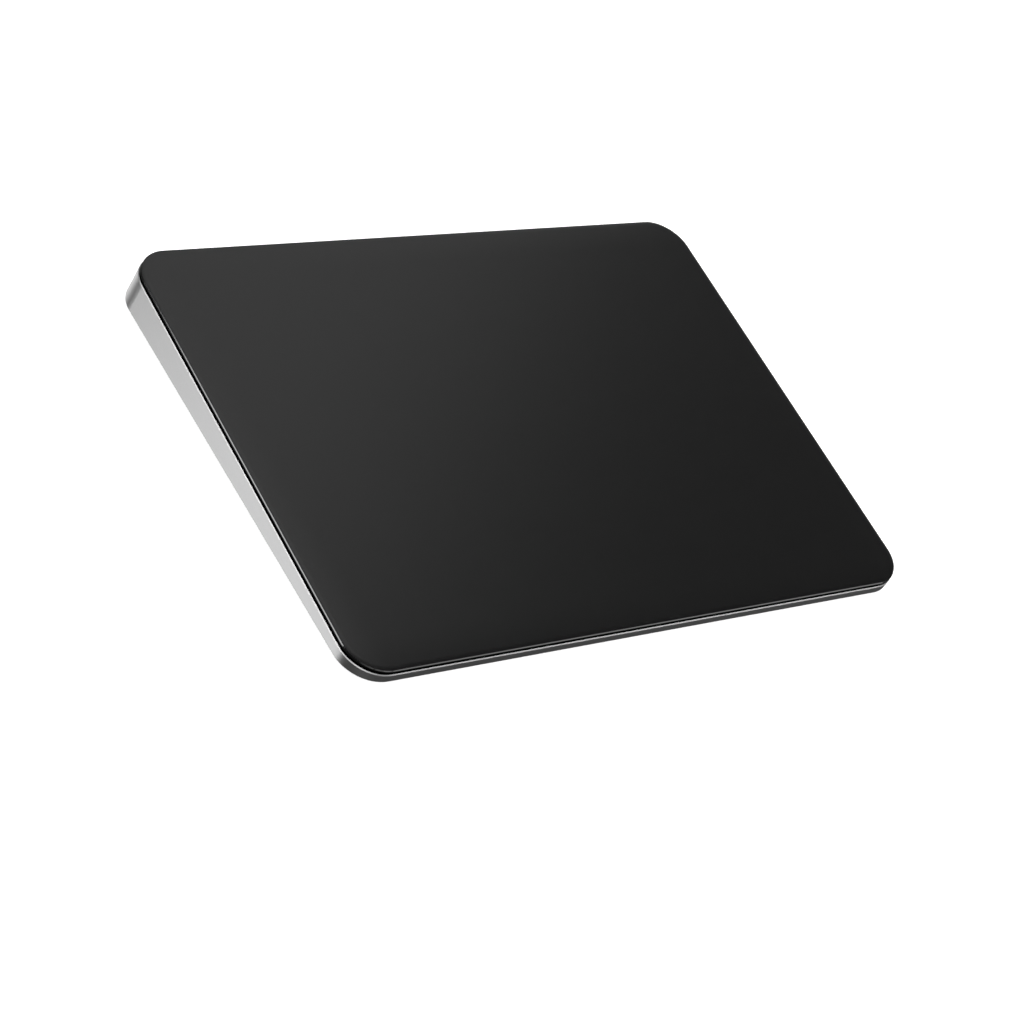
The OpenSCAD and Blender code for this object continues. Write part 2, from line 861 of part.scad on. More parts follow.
// Short lead from the front coil to the logic board
module haptic_lead()
    color("#b06a2c")
        ribbon(plug_cols[1], [
            [desk_y(haptic_y - coil_out, bracket_depth - core_h / 2) - part_gap, board_top + plug_h / 2],
            [plug_y + plug_d - lead_in, board_top + plug_h / 2]]);

// Pouch cell: a soft-edged body and the flat sealed lip that its tabs come out of
module cell() {
    translate([cell_bay + cell_w / 2, cell_y + (cell_d - seal_d) / 2, floor_top + tape_t])
        edged_slab(cell_w, cell_d - seal_d, cell_r, cell_h, cell_bevel, cell_bevel);
    block(cell_bay + cell_r, cell_y + cell_d - 2 * seal_d, guard_top + (tab_t - seal_t) / 2,
        [cell_w - 2 * cell_r, 2 * seal_d, seal_t]);
}

module battery_cell_left()
    color("#3b3d40")
        on_side(-1)
            cell();

module battery_cell_right()
    color("#3b3d40")
        cell();

module battery_tape()
    color("#e6e3da")
        for (side = [-1, 1])
            on_side(side) {
                for (x = [tape_in, cell_w - tape_in - tape_w])
                    block(cell_bay + x, cell_y + tape_margin, floor_top,
                        [tape_w, cell_d - seal_d - 2 * tape_margin, tape_t]);
                block(guard_w / 2 - tape_w, guard_y + place_gap, floor_top,
                    [tape_w - place_gap, guard_d - 2 * place_gap, guard_lift]);
            }

module battery_board()
    color("#2d5a3a")
        translate([0, guard_y + guard_d / 2, floor_top + guard_lift])
            linear_extrude(board_t)
                rounded_rect(guard_w, guard_d, board_r);

module cell_tabs()
    color("#c4c0b4")
        for (side = [-1, 1], x = [tab_in, tab_in + tab_pitch])
            on_side(side)
                block(cell_bay + x, cell_y + cell_d, guard_top, [tab_w, guard_d, tab_t]);

module battery_lead()
    color("#a8843c")
        ribbon(-ribbon_x, [[guard_y + guard_d / 2, guard_top], [guard_y - part_gap, guard_top],
            [guard_y - bend_l, lead_z], [board_rear + edge_gap + bend_l, lead_z],
            [board_rear + edge_gap, board_top + part_gap],
            [plug_y + plug_d - lead_in, board_top + part_gap]]);

module logic_board()
    color("#1e4d38")
        difference() {
            translate([0, board_y + board_d / 2, board_z])
                linear_extrude(board_t)
                    rounded_rect(board_w, board_d, board_r);
            for (x = board_cols, y = board_rows)
                translate([x, y, board_z - board_t])
                    cylinder(d = hole_d, h = 3 * board_t);
        }

module logic_board_screws()
    color("#a9adb2")
        for (x = board_cols, y = board_rows)
            translate([x, y, board_top])
                screw(board_t + board_lift + floor_t - floor_skin - part_gap);

module chip(x, y, side)
    translate([x + side / 2, y + side / 2, board_top])
        topped_block(side, side, chip_h, chip_bevel);

// Processor and radio below the shield, the converter, then the charger and the driver
module logic_chips()
    color("#2a2c2f") {
        chip(shield_x + chip_gap, shield_y + (shield_d - processor_w) / 2, processor_w);
        chip(shield_x + shield_w - chip_gap - radio_w, shield_y + (shield_d - radio_w) / 2, radio_w);
        chip(chip_gap, board_y + antenna_w + 2 * chip_gap, radio_w);
        for (place = [1, 2])
            chip(touch_plug_x - place * (chip_gap + driver_w), board_y + board_d / 2, driver_w);
    }

// Drawn sheet lid, open below, with a pattern of vents
module shield_can()
    color("#c2c4c6")
        translate([shield_x + shield_w / 2, shield_y + shield_d / 2, board_top])
            difference() {
                topped_block(shield_w, shield_d, shield_h, shield_bevel);
                down(shield_t)
                    topped_block(shield_w - 2 * shield_t, shield_d - 2 * shield_t, shield_h, shield_bevel);
                for (column = [0:vent_columns - 1], row = [0:vent_rows - 1])
                    translate([(column - (vent_columns - 1) / 2) * vent_pitch,
                            (row - (vent_rows - 1) / 2) * vent_pitch, 0])
                        cylinder(d = vent_d, h = 2 * shield_h);
            }

// Connector with a mouth in its +y side for a lead that lies at a given height
module plug(lead_h)
    difference() {
        topped_block(plug_w, plug_d, plug_h, plug_bevel);
        block(-ribbon_w / 2 - mouth_gap, plug_d / 2 - mouth_d, lead_h - mouth_gap,
            [ribbon_w + 2 * mouth_gap, 2 * mouth_d, ribbon_t + 2 * mouth_gap]);
    }

module board_connectors()
    color("#d8d2c4") {
        for (i = [0:len(plug_cols) - 1])
            translate([plug_cols[i], plug_y + plug_d / 2, board_top])
                plug(i == 1 ? plug_h / 2 : part_gap);
        translate([touch_plug_x + touch_plug_d / 2, touch_y + top_y, board_top])
            topped_block(touch_plug_d, touch_plug_w, plug_h, plug_bevel);
        on_top()
            translate([ribbon_x, io_front + io_plug_in + plug_d / 2, -io_depth])
                rotate([0, 0, 180])
                    plug(plug_h / 2);
    }

// Strip folded to and fro on two legs, at the logic board's front edge
module antenna()
    color("#c9a24a")
        translate([antenna_x, board_y + place_gap, board_top]) {
            translate([0, 0, plug_h - antenna_t])
                linear_extrude(antenna_t) {
                    for (fold = [0:fold_count - 1])
                        translate([fold * fold_pitch, 0])
                            square([fold_w, antenna_w]);
                    for (fold = [0:fold_count - 2])
                        translate([fold * fold_pitch, fold % 2 * (antenna_w - fold_w)])
                            square([fold_pitch + fold_w, fold_w]);
                }
            for (fold = leg_folds)
                block(fold * fold_pitch, 0, 0, [fold_w, antenna_w, plug_h]);
        }

// Ribbon that bends with the touch plate
module touch_flex()
    color("#a8843c")
        on_top()
            translate([0, touch_y + touch_ribbon_w / 2, 0])
                rotate([90, 0, 0])
                    linear_extrude(touch_ribbon_w)
                        polygon([[touch_end, -touch_low], [touch_end + touch_bend, -touch_low],
                            [sensor_plug_x - touch_bend, -touch_high],
                            [touch_tip, -touch_high],
                            [touch_tip, ribbon_t - touch_high],
                            [sensor_plug_x - touch_bend - ribbon_t, ribbon_t - touch_high],
                            [touch_end + touch_bend - ribbon_t, ribbon_t - touch_low],
                            [touch_end, ribbon_t - touch_low]]);

module io_board()
    color("#1e4d38")
        on_top()
            down(io_depth + board_t)
                difference() {
                    translate([(io_left + io_right) / 2, io_front + io_d / 2, 0])
                        linear_extrude(board_t)
                            rounded_rect(io_right - io_left, io_d, board_r);
                    for (x = io_screws)
                        translate([x, io_screw_y, -board_t])
                            cylinder(d = hole_d, h = 3 * board_t);
                }

module io_board_screws()
    color("#a9adb2")
        on_top()
            for (x = io_screws)
                translate([x, io_screw_y, -io_depth])
                    screw(board_t + thread_l - part_gap);

module io_flex()
    color("#a8843c")
        ribbon(ribbon_x, [[desk_y(io_tip, io_plug_depth), desk_z(io_tip, io_plug_depth)],
            [io_plug_y, io_plug_z], [io_lip_y - edge_gap, io_plug_z - part_gap],
            [io_lip_y - edge_gap - bend_l, lead_z], [board_rear + edge_gap + bend_l, lead_z],
            [board_rear + edge_gap, board_top + part_gap],
            [plug_y + plug_d - lead_in, board_top + part_gap]]);

// The socket's parts, with z = 0 at its mouth and z growing inward
module in_port()
    on_top()
        translate([0, inner_y - part_gap, -port_drop])
            rotate([90, 0, 0])
                children();

module port_shell()
    color("#b9bcc0")
        in_port()
            linear_extrude(port_l)
                difference() {
                    stadium(port_w + 2 * port_t, port_h + 2 * port_t);
                    stadium(port_w, port_h);
                }

module port_tongue()
    color("#1b1c1e")
        in_port() {
            translate([0, 0, port_l - tongue_base])
                linear_extrude(tongue_base)
                    stadium(port_w - 2 * fit_gap, port_h - 2 * fit_gap);
            block(-tongue_w / 2, -tongue_t / 2, tongue_start,
                [tongue_w, tongue_t, port_l - tongue_start - tongue_base / 2]);
        }

module port_contacts()
    color("#d8b25a")
        in_port()
            for (y = [tongue_t / 2, -tongue_t / 2 - contact_t], pin = [0:contact_count - 1])
                block((pin - (contact_count - 1) / 2) * contact_pitch - contact_w / 2, y,
                    tongue_start + edge_gap,
                    [contact_w, contact_t, port_l - tongue_start - tongue_base - place_gap]);

module switch_body()
    color("#2b2d30")
        on_top()
            difference() {
                block(switch_x - switch_w / 2, switch_y, -io_depth, [switch_w, switch_d, switch_h]);
                block(switch_x - (lever_w + switch_travel) / 2 - run_clear,
                    switch_y + switch_d - lever_in - run_clear, -port_drop - lever_w / 2 - run_clear,
                    [lever_w + switch_travel + 2 * run_clear, switch_d, lever_w + 2 * run_clear]);
            }

module switch_lever()
    color("#e4e2dc")
        on_top()
            block(knob_x - lever_w / 2, switch_y + switch_d - lever_in, -port_drop - lever_w / 2,
                [lever_w, lever_in + run_clear + fork_l - part_gap, lever_w]);

// Ribbed knob in the wall's slot, the plate that keeps it there and the fork for the lever
module power_slider()
    color("#d7d8da")
        on_top() {
            translate([knob_x, plate_y + slider_t / 2, -port_drop])
                rotate([-90, 0, 0])
                    linear_extrude(slider_t / 2 + slider_gap + wall_t - knob_recess - rib_h)
                        stadium(knob_w, knob_h);
            for (step = [-1, 0, 1])
                block(knob_x + step * rib_pitch - rib_w / 2, plate_y + slider_t, -port_drop - knob_h * 0.3,
                    [rib_w, slider_gap + wall_t - knob_recess, knob_h * 0.6]);
            block(knob_x - plate_w / 2, plate_y, -port_drop - plate_h / 2, [plate_w, slider_t, plate_h]);
            for (side = [-1, 1])
                block(knob_x + side * (lever_w / 2 + part_gap + fork_t / 2) - fork_t / 2, plate_y - fork_l,
                    -port_drop - lever_w / 2, [fork_t, fork_l + slider_t / 2, lever_w]);
        }

// Green patch that shows beside the knob when the slider is on
module switch_marker()
    color("#2fae4c")
        on_top()
            block(knob_x - plate_w / 2 + part_gap, plate_y + slider_t, -port_drop - slot_h / 2 - part_gap,
                [(plate_w - knob_w) / 2 - 2 * part_gap, slider_gap / 2, slot_h + 2 * part_gap]);

housing();
bottom_cover();
feet();
touch_glass();
sensor_board();
stiffener_plate();
touch_controller();
sensor_connector();
armature();
armature_screws();
gel_pads();
flexures();
strain_gauges();
flexure_screws();
haptic_core();
haptic_coils();
haptic_bracket();
haptic_screws();
haptic_lead();
battery_cell_left();
battery_cell_right();
battery_tape();
battery_board();
cell_tabs();
battery_lead();
logic_board();
logic_chips();
shield_can();
board_connectors();
logic_board_screws();
antenna();
touch_flex();
io_board();
io_board_screws();
io_flex();
port_shell();
port_tongue();
port_contacts();
switch_body();
switch_lever();
power_slider();
switch_marker();
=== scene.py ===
import json
import math

import bpy
from mathutils import Matrix, Vector


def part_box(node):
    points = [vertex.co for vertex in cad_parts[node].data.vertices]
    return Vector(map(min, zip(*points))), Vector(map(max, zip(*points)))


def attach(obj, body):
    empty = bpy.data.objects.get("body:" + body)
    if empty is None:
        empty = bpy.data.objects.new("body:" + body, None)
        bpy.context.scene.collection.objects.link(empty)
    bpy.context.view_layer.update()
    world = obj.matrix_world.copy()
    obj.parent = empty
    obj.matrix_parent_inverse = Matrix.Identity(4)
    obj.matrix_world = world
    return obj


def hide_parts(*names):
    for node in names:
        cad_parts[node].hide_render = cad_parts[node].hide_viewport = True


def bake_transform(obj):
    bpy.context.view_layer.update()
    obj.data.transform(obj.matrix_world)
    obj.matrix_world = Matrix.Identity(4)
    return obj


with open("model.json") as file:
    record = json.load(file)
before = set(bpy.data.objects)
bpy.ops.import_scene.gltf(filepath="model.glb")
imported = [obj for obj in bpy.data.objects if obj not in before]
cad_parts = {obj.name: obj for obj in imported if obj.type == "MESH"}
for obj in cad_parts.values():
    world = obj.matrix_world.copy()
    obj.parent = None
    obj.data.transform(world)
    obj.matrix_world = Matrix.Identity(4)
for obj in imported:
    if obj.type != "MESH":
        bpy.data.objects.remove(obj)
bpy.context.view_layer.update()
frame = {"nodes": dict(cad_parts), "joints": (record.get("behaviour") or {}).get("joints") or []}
nodes = frame["nodes"]
mm = 0.001  # the pieces below are given in millimetres
slack = 0.01 * mm  # how far off a plane a point may lie and still count as in it
pressAxis = Vector(next(j for j in frame["joints"] if j["name"] == "plate_press")["axis"])
tilt = math.atan2(pressAxis.y, -pressAxis.z)  # slope of the touch surface
tiltTurn = Matrix.Rotation(tilt, 4, "X")
print("frame loaded:", len(nodes), "nodes, touch surface at", round(math.degrees(tilt), 2), "degrees")


def linear(hexColour):
    parts = [int(hexColour[i:i + 2], 16) / 255 for i in (1, 3, 5)]
    return [p / 12.92 if p <= 0.04045 else ((p + 0.055) / 1.055) ** 2.4 for p in parts] + [1.0]


def addNode(tree, kind, settings=None, links=None):
    node = tree.nodes.new(kind)
    for key, value in (settings or {}).items():
        if isinstance(key, str) and hasattr(node, key):
            setattr(node, key, value)
        else:
            node.inputs[key].default_value = value
    for key, source in (links or {}).items():
        tree.links.new(source, node.inputs[key])
    return node


def newMaterial(name):
    material = bpy.data.materials.new(name)
    material.use_nodes = True
    tree = material.node_tree
    tree.nodes.clear()
    shader = addNode(tree, "ShaderNodeBsdfPrincipled")
    addNode(tree, "ShaderNodeOutputMaterial", links={"Surface": shader.outputs["BSDF"]})
    place = addNode(tree, "ShaderNodeTexCoord").outputs["Object"]
    return material, tree, shader, place


def objectMode():
    bpy.ops.object.mode_set(mode="OBJECT")


def deselectAll():
    if bpy.context.object and bpy.context.object.mode != "OBJECT":
        objectMode()
    bpy.ops.object.select_all(action="DESELECT")


def onlyThis(piece):
    deselectAll()
    piece.select_set(True)
    bpy.context.view_layer.objects.active = piece


def tiltedBox(name):  # a node's corners on the touch surface's own axes
    points = [tiltTurn.inverted() @ v.co for v in nodes[name].data.vertices]
    return Vector(map(min, zip(*points))), Vector(map(max, zip(*points)))


def newCube(name, low, high):  # a cube at its size and place, to be shaped
    deselectAll()
    bpy.ops.mesh.primitive_cube_add(size=1, location=(low + high) / 2, scale=high - low)
    piece = bpy.context.object
    piece.name = name
    bpy.ops.object.transform_apply(location=True, rotation=False, scale=True)
    return piece


def pickNothing(piece, kind):  # clears the piece's selection, for FACE or EDGE
    onlyThis(piece)
    bpy.ops.object.mode_set(mode="EDIT")
    bpy.ops.mesh.select_mode(type=kind)
    bpy.ops.mesh.select_all(action="DESELECT")
    objectMode()


def pickFaces(piece, rule):  # goes to edit mode with those faces selected
    pickNothing(piece, "FACE")
    for face in piece.data.polygons:
        face.select = rule(face)
    bpy.ops.object.mode_set(mode="EDIT")


def pickEdges(piece, rule):  # goes to edit mode with those edges selected
    pickNothing(piece, "EDGE")
    verts = piece.data.vertices
    for edge in piece.data.edges:
        edge.select = rule(*(verts[i].co for i in edge.vertices))
    bpy.ops.object.mode_set(mode="EDIT")


def runsAlong(axis, length):  # picks edges that go most of that length along an axis
    return lambda a, b: abs(a[axis] - b[axis]) > 0.5 * length


def inPlane(axis, spot):  # picks edges that lie in a plane across an axis
    return lambda a, b: abs(a[axis] - spot) < slack and abs(b[axis] - spot) < slack


def bevelEdges(piece, rule, size, segments):  # size in mm
    pickEdges(piece, rule)
    bpy.ops.mesh.bevel(offset=size * mm, segments=segments)
    objectMode()


def bevelSharp(piece, size, segments):  # the same for every sharp edge
    pickEdges(piece, lambda a, b: False)
    bpy.ops.mesh.edges_select_sharp(sharpness=math.radians(60))
    bpy.ops.mesh.bevel(offset=size * mm, segments=segments)
    objectMode()


def joinPieces(pieces, name):
    onlyThis(pieces[0])
    for piece in pieces[1:]:
        piece.select_set(True)
    bpy.ops.object.join()
    pieces[0].name = name
    return pieces[0]


def copyPiece(piece, move=(0, 0, 0), flip=False):  # moved or mirrored in a mesh of its own
    twin = piece.copy()
    twin.data = piece.data.copy()
    bpy.context.collection.objects.link(twin)
    twin.data.transform(Matrix.Translation(move))
    if flip:
        twin.data.transform(Matrix.Scale(-1, 4, (1, 0, 0)))
        pickFaces(twin, lambda face: True)
        bpy.ops.mesh.normals_make_consistent(inside=False)
        objectMode()
    return twin


def finishPiece(piece, material, smooth=30, onTop=False):  # the place goes into the mesh
    onlyThis(piece)
    if onTop:
        piece.matrix_world = tiltTurn @ piece.matrix_world
    bpy.ops.object.transform_apply(location=True, rotation=True, scale=True)
    bpy.ops.object.shade_smooth_by_angle(angle=math.radians(smooth))
    if material:
        piece.data.materials.clear()
        piece.data.materials.append(material)
    return piece


def standsFor(piece, slot, *names):
    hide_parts(*names)


# the camera, at the photograph's angle
camera = {"place": (-0.408324, -0.307219, 0.390623), "turn": (46.5585, -24.7855, -32.1765),
          "lens": 99.68, "sensor": 36, "nearest": 0.01}
bpy.ops.object.camera_add(location=camera["place"], rotation=[math.radians(a) for a in camera["turn"]])
shot = bpy.context.object
shot.data.lens = camera["lens"]
shot.data.sensor_width = camera["sensor"]
shot.data.clip_start = camera["nearest"]
bpy.context.scene.camera = shot

# a paper backdrop that curves up into a wall all round, lit from within like a light table
backdrop = {"floor": 2.4, "curve": [(2.72, 0.08), (2.93, 0.3), (3.0, 0.6), (3.0, 2.6)], "sides": 96,
            "glow": 0.72, "cloud": 40}  # metres, and clouds to the metre
bpy.ops.mesh.primitive_circle_add(vertices=backdrop["sides"], radius=backdrop["floor"], fill_type="NGON")
floor = bpy.context.object
floor.name = "floor"
bpy.ops.object.mode_set(mode="EDIT")
bpy.ops.mesh.select_mode(type="EDGE")
bpy.ops.mesh.select_all(action="SELECT")
bpy.ops.mesh.region_to_loop()
reached, level = backdrop["floor"], 0.0
for radius, height in backdrop["curve"]:
    bpy.ops.mesh.extrude_region_move(TRANSFORM_OT_translate={"value": (0, 0, height - level)})
    bpy.ops.transform.resize(value=(radius / reached, radius / reached, 1))
    reached, level = radius, height
objectMode()
bpy.ops.object.shade_smooth_by_angle(angle=math.radians(60))
floor.visible_glossy = False  # metal and glass mirror the cards alone
floor.visible_shadow = False  # cards below the table shine through it
paper, tree, shader, place = newMaterial("white_paper_backdrop")  # matt and even, with a faint fibre cloud
fibre = addNode(tree, "ShaderNodeTexNoise", {"Scale": backdrop["cloud"], "Detail": 2}, {"Vector": place})
tint = addNode(tree, "ShaderNodeMix", {"data_type": "RGBA", 6: linear("#f2f2f2"), 7: linear("#f6f6f6")},
               {0: fibre.outputs["Fac"]})
tree.links.new(tint.outputs[2], shader.inputs["Base Color"])
tree.links.new(tint.outputs[2], shader.inputs["Emission Color"])
shader.inputs["Emission Strength"].default_value = backdrop["glow"]
shader.inputs["Roughness"].default_value = 0.9
paper.cycles.emission_sampling = "NONE"
floor.data.materials.append(paper)

lights = [  # name, azimuth from +X, elevation, distance, width, height, radiance
    ("overhead", 231, 57, 1.5, 1.3, 1.3, 1.2),
    ("left_strip", 158, -8, 1.1, 0.40, 0.15, 3.6),
    ("rim_card", 152, 45, 1.1, 0.46, 0.36, 4.9),
    ("left_table", 149, -41, 1.0, 0.54, 0.42, 1.06),
    ("corner_table", 93, -38, 1.1, 0.50, 0.36, 0.68),
    ("rear_table", 62, -24, 1.1, 0.80, 0.75, 0.66),
    ("front_table", 236, -17, 1.1, 0.60, 0.42, 0.55),
    ("right_table", 2, -6, 1.1, 0.50, 0.30, 0.60),
    ("near_table", 268, -5, 1.1, 0.50, 0.28, 0.60),
    ("rear_low", 36, 11, 1.2, 0.90, 0.48, 0.33),
    ("glass_card", 60, 38, 1.2, 0.80, 0.58, 0.62),
    ("glass_high", 53, 60, 1.2, 0.50, 0.34, 1.25),
    ("front_strip", 312, -17, 1.1, 0.50, 0.16, 0.97),
    ("corner_strip", 285, -14, 1.1, 0.36, 0.14, 0.86),
    ("front_card", 316, 31, 1.1, 0.42, 0.30, 3.6),
]
for name, azimuth, elevation, away, width, height, radiance in lights:
    turned, raised = math.radians(azimuth), math.radians(elevation)
    outward = math.cos(raised)
    spot = away * Vector((outward * math.cos(turned), outward * math.sin(turned), math.sin(raised)))
    bpy.ops.object.light_add(type="AREA", location=spot)
    lamp = bpy.context.object
    lamp.name = name
    lamp.visible_camera = False
    lamp.data.shape = "RECTANGLE"
    lamp.data.size, lamp.data.size_y = width, height
    lamp.data.energy = radiance * math.pi * width * height
    lamp.rotation_euler = (-spot).to_track_quat("-Z", "Y").to_euler()

room = {"colour": "#ffffff", "strength": 0.055}
world = bpy.data.worlds.new("studio")
world.use_nodes = True
world.node_tree.nodes["Background"].inputs["Color"].default_value = linear(room["colour"])
world.node_tree.nodes["Background"].inputs["Strength"].default_value = room["strength"]
bpy.context.scene.world = world
bpy.context.scene.view_settings.view_transform = "Standard"
print("camera, backdrop and", len(lights), "lights set")


def makeFinish(name, dark, light, metal, rough, grain, run=(1, 1, 1), bump=0.0):
    # a mottled finish: grain in mm and stretched along run, bump in mm
    material, tree, shader, place = newMaterial(name)
    turned = addNode(tree, "ShaderNodeMapping", {"Scale": [1 / r for r in run]}, {"Vector": place})
    grit = addNode(tree, "ShaderNodeTexNoise", {"Scale": 1 / (grain * mm), "Detail": 3, "Roughness": 0.6},
                   {"Vector": turned.outputs[0]})
    tint = addNode(tree, "ShaderNodeMix", {"data_type": "RGBA", 6: linear(dark), 7: linear(light)},
                   {0: grit.outputs["Fac"]})
    tree.links.new(tint.outputs[2], shader.inputs["Base Color"])
    gloss = addNode(tree, "ShaderNodeMapRange", {"To Min": rough[0], "To Max": rough[1]},
                    {"Value": grit.outputs["Fac"]})
    tree.links.new(gloss.outputs[0], shader.inputs["Roughness"])
    shader.inputs["Metallic"].default_value = metal
    if bump:
        relief = addNode(tree, "ShaderNodeBump", {"Strength": 1.0, "Distance": bump * mm},
                         {"Height": grit.outputs["Fac"]})
        tree.links.new(relief.outputs[0], shader.inputs["Normal"])
    return material, tree, shader, place


# anodised aluminium, bead-blasted: even satin silver, and brighter on the rim's cut bevel;
# its 0.1 mm grit is drawn at 0.35 mm so that it shows close up
tub = {"bevelFaces": (0.45, 0.6), "bevelRough": 0.46, "paintedShadeFaces": (0.9, 0.97)}  # upward part of the normal
aluminium, tree, shader, _ = makeFinish("anodised_aluminium", "#d6d6d6", "#dedede", 1, (0.30, 0.34), 0.35,
                                        bump=0.002)
normal = addNode(tree, "ShaderNodeNewGeometry").outputs["Normal"]
upward = addNode(tree, "ShaderNodeSeparateXYZ", links={0: normal}).outputs["Z"]
cutRange = dict(zip(("From Min", "From Max"), tub["bevelFaces"]))
cut = addNode(tree, "ShaderNodeMapRange", cutRange, {"Value": upward})
blasted = shader.inputs["Roughness"].links[0].from_socket
gloss = addNode(tree, "ShaderNodeMix", {3: tub["bevelRough"]}, {0: cut.outputs[0], 2: blasted})
tree.links.new(gloss.outputs[0], shader.inputs["Roughness"])
# painted shade: the ledge under the glass and the tub's floor, which are bare aluminium on the real tub, are
# coloured near black so that the gap reads dark as a shadow
paintedShadeRange = dict(zip(("From Min", "From Max"), tub["paintedShadeFaces"]))
paintedShadeMask = addNode(tree, "ShaderNodeMapRange", paintedShadeRange, {"Value": upward})
silver = shader.inputs["Base Color"].links[0].from_socket
bright = addNode(tree, "ShaderNodeMix", {"data_type": "RGBA", 7: linear("#f0f0f0")},
                 {0: cut.outputs[0], 6: silver})
# painted shade: the colour of every face that looks straight up is mixed to near black
withPaintedShade = addNode(tree, "ShaderNodeMix", {"data_type": "RGBA", 7: linear("#0b0b0c")},
                  {0: paintedShadeMask.outputs[0], 6: bright.outputs[2]})
tree.links.new(withPaintedShade.outputs[2], shader.inputs["Base Color"])

glassIor = 1.5
# black glass with a fine acid etch: dark and silky, with a soft sheen and no grain to the eye
blackGlass, _, shader, _ = makeFinish("etched_black_glass", "#111111", "#131313", 0, (0.29, 0.31), 0.8)
shader.inputs["IOR"].default_value = glassIor
# the ground and polished edge of the glass: a sharp bright line
polishedEdge, _, shader, _ = makeFinish("polished_glass_edge", "#090909", "#0b0b0b", 0, (0.12, 0.16), 0.3)
shader.inputs["IOR"].default_value = glassIor
shader.inputs["Specular IOR Level"].default_value = 1.0  # the ground face shines from within too
shader.inputs["Coat Weight"].default_value = 1.0
shader.inputs["Coat Roughness"].default_value = 0.12
# black paint on the glass's side: nearly no light comes back from the gap
edgePaint, _, shader, _ = makeFinish("black_edge_paint", "#020202", "#040404", 0, (0.5, 0.6), 0.4)
shader.inputs["Specular IOR Level"].default_value = 0.12
print("outer finishes made")

# touch glass: a flat plate with round corners, a ground chamfer and a rim that rolls off slightly
glass = {"corner": 8.85, "cornerSteps": 32, "chamfer": 0.1, "chamferDrop": 0.17,
         "rollOff": [(0.3, 14), (0.4, 9), (0.4, 4)], "softBand": 7.0}  # rings as width and slope
low, high = tiltedBox("touch_glass")
glassPlate = newCube("glass_plate", low, high)
bevelEdges(glassPlate, runsAlong(2, high.z - low.z), glass["corner"], glass["cornerSteps"])
bevelSharp(glassPlate, glass["chamfer"], 1)
for v in glassPlate.data.vertices:  # the ground face leans outward more than upward
    if 0.5 * glass["chamfer"] * mm < high.z - v.co.z < 1.5 * glass["chamfer"] * mm:
        v.co.z -= glass["chamferDrop"] * mm
pickFaces(glassPlate, lambda face: face.normal.z > 0.99)
for width, slope in glass["rollOff"]:  # each ring lowers all that lies outside it
    bpy.ops.mesh.inset(thickness=width * mm)
    objectMode()
    flat = {i for face in glassPlate.data.polygons if face.select for i in face.vertices}
    for v in glassPlate.data.vertices:
        if v.index not in flat and v.co.z > (low.z + high.z) / 2:
            v.co.z -= width * math.tan(math.radians(slope)) * mm
    bpy.ops.object.mode_set(mode="EDIT")
bpy.ops.mesh.inset(thickness=glass["softBand"] * mm)
objectMode()
for finish in (blackGlass, polishedEdge, edgePaint):
    glassPlate.data.materials.append(finish)
for face in glassPlate.data.polygons:  # the top, the ground edge and the painted side
    face.material_index = 0 if face.normal.z > 0.9 else 1 if face.normal.z > 0.1 else 2
finishPiece(glassPlate, None, smooth=15, onTop=True)
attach(glassPlate, "touch_plate")
standsFor(glassPlate, "black_glass", "touch_glass")
print("touch glass made:", len(glassPlate.data.polygons), "faces")

# cover sheet of the same aluminium, rolled: matt with long faint streaks
coverSheet, *_ = makeFinish("rolled_cover_aluminium", "#bcbcbd", "#c9c9ca", 1, (0.42, 0.5), 0.5,
                            run=(14, 1, 1), bump=0.002)
# moulded rubber: dead matt dark grey with a pebbled skin
footRubber, *_ = makeFinish("moulded_foot_rubber", "#2b2b2c", "#363637", 0, (0.75, 0.9), 0.4, bump=0.02)
# spring steel, cold rolled: grey metal with fine streaks along the arm
springSteel, *_ = makeFinish("cold_rolled_spring_steel", "#8d9196", "#aeb2b6", 1, (0.28, 0.42), 0.25,
                             run=(20, 1, 1), bump=0.002)
# stamped steel sheet: the same streaks, duller
steelSheet, *_ = makeFinish("stamped_steel_sheet", "#84878a", "#9ea1a4", 1, (0.36, 0.5), 0.4,
                            run=(1, 16, 1), bump=0.003)
# machine screws, nickel plated: bright and slightly warm
screwSteel, *_ = makeFinish("nickel_plated_screw", "#a7a49d", "#c3c0b8", 1, (0.2, 0.32), 0.3)
# soft iron laminations, varnished: dull dark grey with fine layer lines
softIron, *_ = makeFinish("varnished_soft_iron", "#55585c", "#74777a", 1, (0.45, 0.6), 0.35,
                          run=(12, 12, 1), bump=0.01)
# enamelled copper wire: deep orange with a lacquer shine
copperWire, _, shader, _ = makeFinish("enamelled_copper_wire", "#a2491c", "#c86a32", 1, (0.22, 0.34), 0.4)
shader.inputs["Coat Weight"].default_value = 0.6
# damping gel: amber, soft and a little cloudy
dampingGel, _, shader, _ = makeFinish("amber_damping_gel", "#b58233", "#cf9e4c", 0, (0.22, 0.35), 1.5, bump=0.01)
shader.inputs["Subsurface Weight"].default_value = 0.4
shader.inputs["Subsurface Radius"].default_value = (0.0012, 0.0008, 0.0003)
# moulded epoxy: black chip packages with a grainy matt face
chipEpoxy, *_ = makeFinish("moulded_chip_epoxy", "#18191a", "#262729", 0, (0.5, 0.68), 0.12, bump=0.004)
# glass-filled nylon: cream connector housings with faint flow marks
creamNylon, *_ = makeFinish("cream_filled_nylon", "#cfc6b0", "#ddd6c4", 0, (0.4, 0.52), 0.6,
                            run=(1, 4, 1), bump=0.004)
# tinned steel: pale sheet with soft tin clouds
tinnedSheet, *_ = makeFinish("tinned_steel_sheet", "#a9abac", "#c6c8c8", 1, (0.24, 0.4), 2.2, bump=0.002)
# hard gold over nickel: warm yellow contacts
goldPlate, *_ = makeFinish("hard_gold_plate", "#c99a3e", "#dcb45c", 1, (0.2, 0.3), 0.5)
# pouch foil: grey coated aluminium laminate with shallow creases
pouchFoil, *_ = makeFinish("coated_pouch_foil", "#5b5d60", "#77797c", 0.6, (0.34, 0.5), 6.0, bump=0.03)
